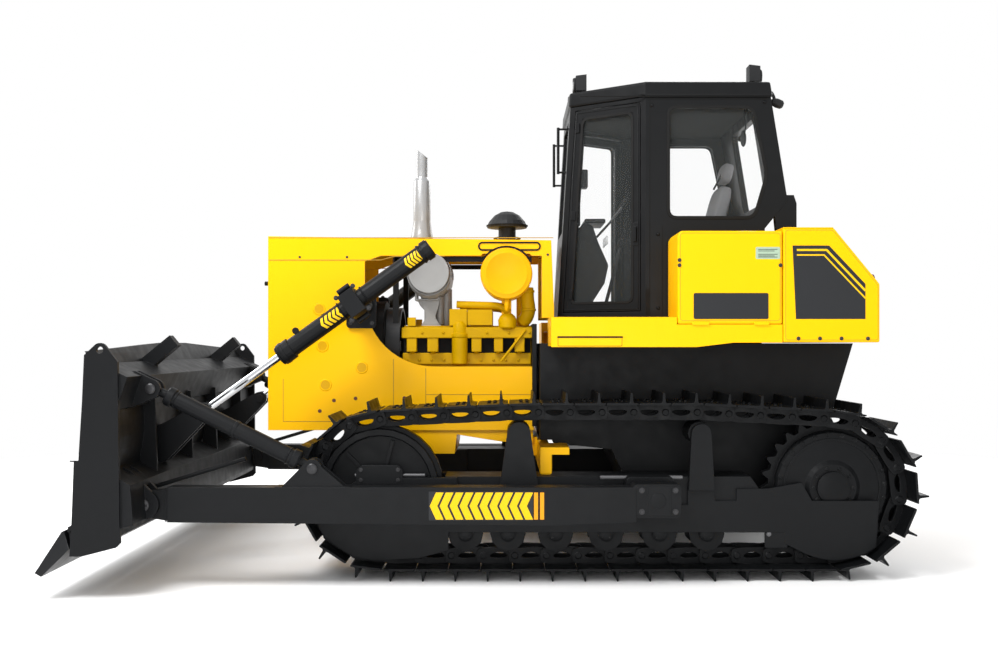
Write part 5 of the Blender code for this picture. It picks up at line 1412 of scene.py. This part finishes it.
class BulldozerSizes(bpy.types.PropertyGroup):
    shoes: bpy.props.IntProperty(name="Shoes", description="Track shoes on each side", default=42, min=20)
    pin_radius: size_property("Pin radius", "Radius of the pin line round the idler and the sprocket", 0.468)
    axle_height: size_property("Axle height", "Height of the idler's and the sprocket's axles", 0.61)
    idler_x: size_property("Idler place", "Where the idler's axle stands along the machine", -0.834)
    sprocket_x: size_property("Sprocket place", "Where the sprocket's axle stands along the machine", 2.272)
    track_y: size_property("Half gauge", "From the machine's middle to the middle of a track", 1.0)
    chevrons: bpy.props.IntProperty(
        name="Chevrons", description="Pointed bands on each push arm", default=10, min=1
    )
    chevron_pitch: size_property("Chevron pitch", "From one pointed band to the next", 0.064)
    lens: bpy.props.FloatProperty(
        name="Lens", description="Focal length of the camera", default=39.535, unit="CAMERA"
    )
    sky: bpy.props.FloatProperty(
        name="Sky", description="Strength of the light from all round", default=1.0, min=0
    )
    key: bpy.props.FloatProperty(name="Lamps", description="Strength of the studio lamps", default=1.0, min=0)


class BulldozerColours(bpy.types.PropertyGroup):
    body: colour_property("Body", "Colour of the hood, boxes and fenders", (0.96, 0.505, 0.0))
    black_parts: colour_property(
        "Black parts", "Colour of the blade, the arms and the frames", (0.0056, 0.0061, 0.0069)
    )
    engine: colour_property("Engine", "Colour of the engine and what is bolted to it", (0.58, 0.335, 0.0))
    seat: colour_property("Seat", "Colour of the seat's cloth", (0.3, 0.3, 0.31))


STEPS = (
    "stage", "coat", "tracks", "undercarriage", "blade", "lift", "markings", "hood", "engine", "breathing",
    "boxes", "cab", "cab_room"
)


class BULLDOZER_PT_panel(bpy.types.Panel):
    bl_idname = "BULLDOZER_PT_panel"
    bl_label = "Bulldozer"
    bl_space_type = "VIEW_3D"
    bl_region_type = "UI"
    bl_category = "Bulldozer"

    def draw(self, context):
        for group in (context.scene.bulldozer_sizes, context.scene.bulldozer_colours):
            column = self.layout.column(align=True)
            for name in type(group).__annotations__:
                column.prop(group, name)
        column = self.layout.column(align=True)
        for step in STEPS:
            column.operator(f"bulldozer.{step}")


CLASSES = (
    BulldozerSizes,
    BulldozerColours,
    BULLDOZER_OT_stage,
    BULLDOZER_OT_coat,
    BULLDOZER_OT_tracks,
    BULLDOZER_OT_undercarriage,
    BULLDOZER_OT_blade,
    BULLDOZER_OT_lift,
    BULLDOZER_OT_markings,
    BULLDOZER_OT_hood,
    BULLDOZER_OT_engine,
    BULLDOZER_OT_breathing,
    BULLDOZER_OT_boxes,
    BULLDOZER_OT_cab,
    BULLDOZER_OT_cab_room,
    BULLDOZER_PT_panel,
)


def register():
    for kind in CLASSES:
        bpy.utils.register_class(kind)
    bpy.types.Scene.bulldozer_sizes = bpy.props.PointerProperty(type=BulldozerSizes)
    bpy.types.Scene.bulldozer_colours = bpy.props.PointerProperty(type=BulldozerColours)


def unregister():
    del bpy.types.Scene.bulldozer_colours
    del bpy.types.Scene.bulldozer_sizes
    for kind in reversed(CLASSES):
        bpy.utils.unregister_class(kind)


def main():
    register()
    for step in STEPS:
        if getattr(bpy.ops.bulldozer, step)() != {"FINISHED"}:
            raise RuntimeError(f"the step {step} didn't finish")


if __name__ == "__main__":
    main()
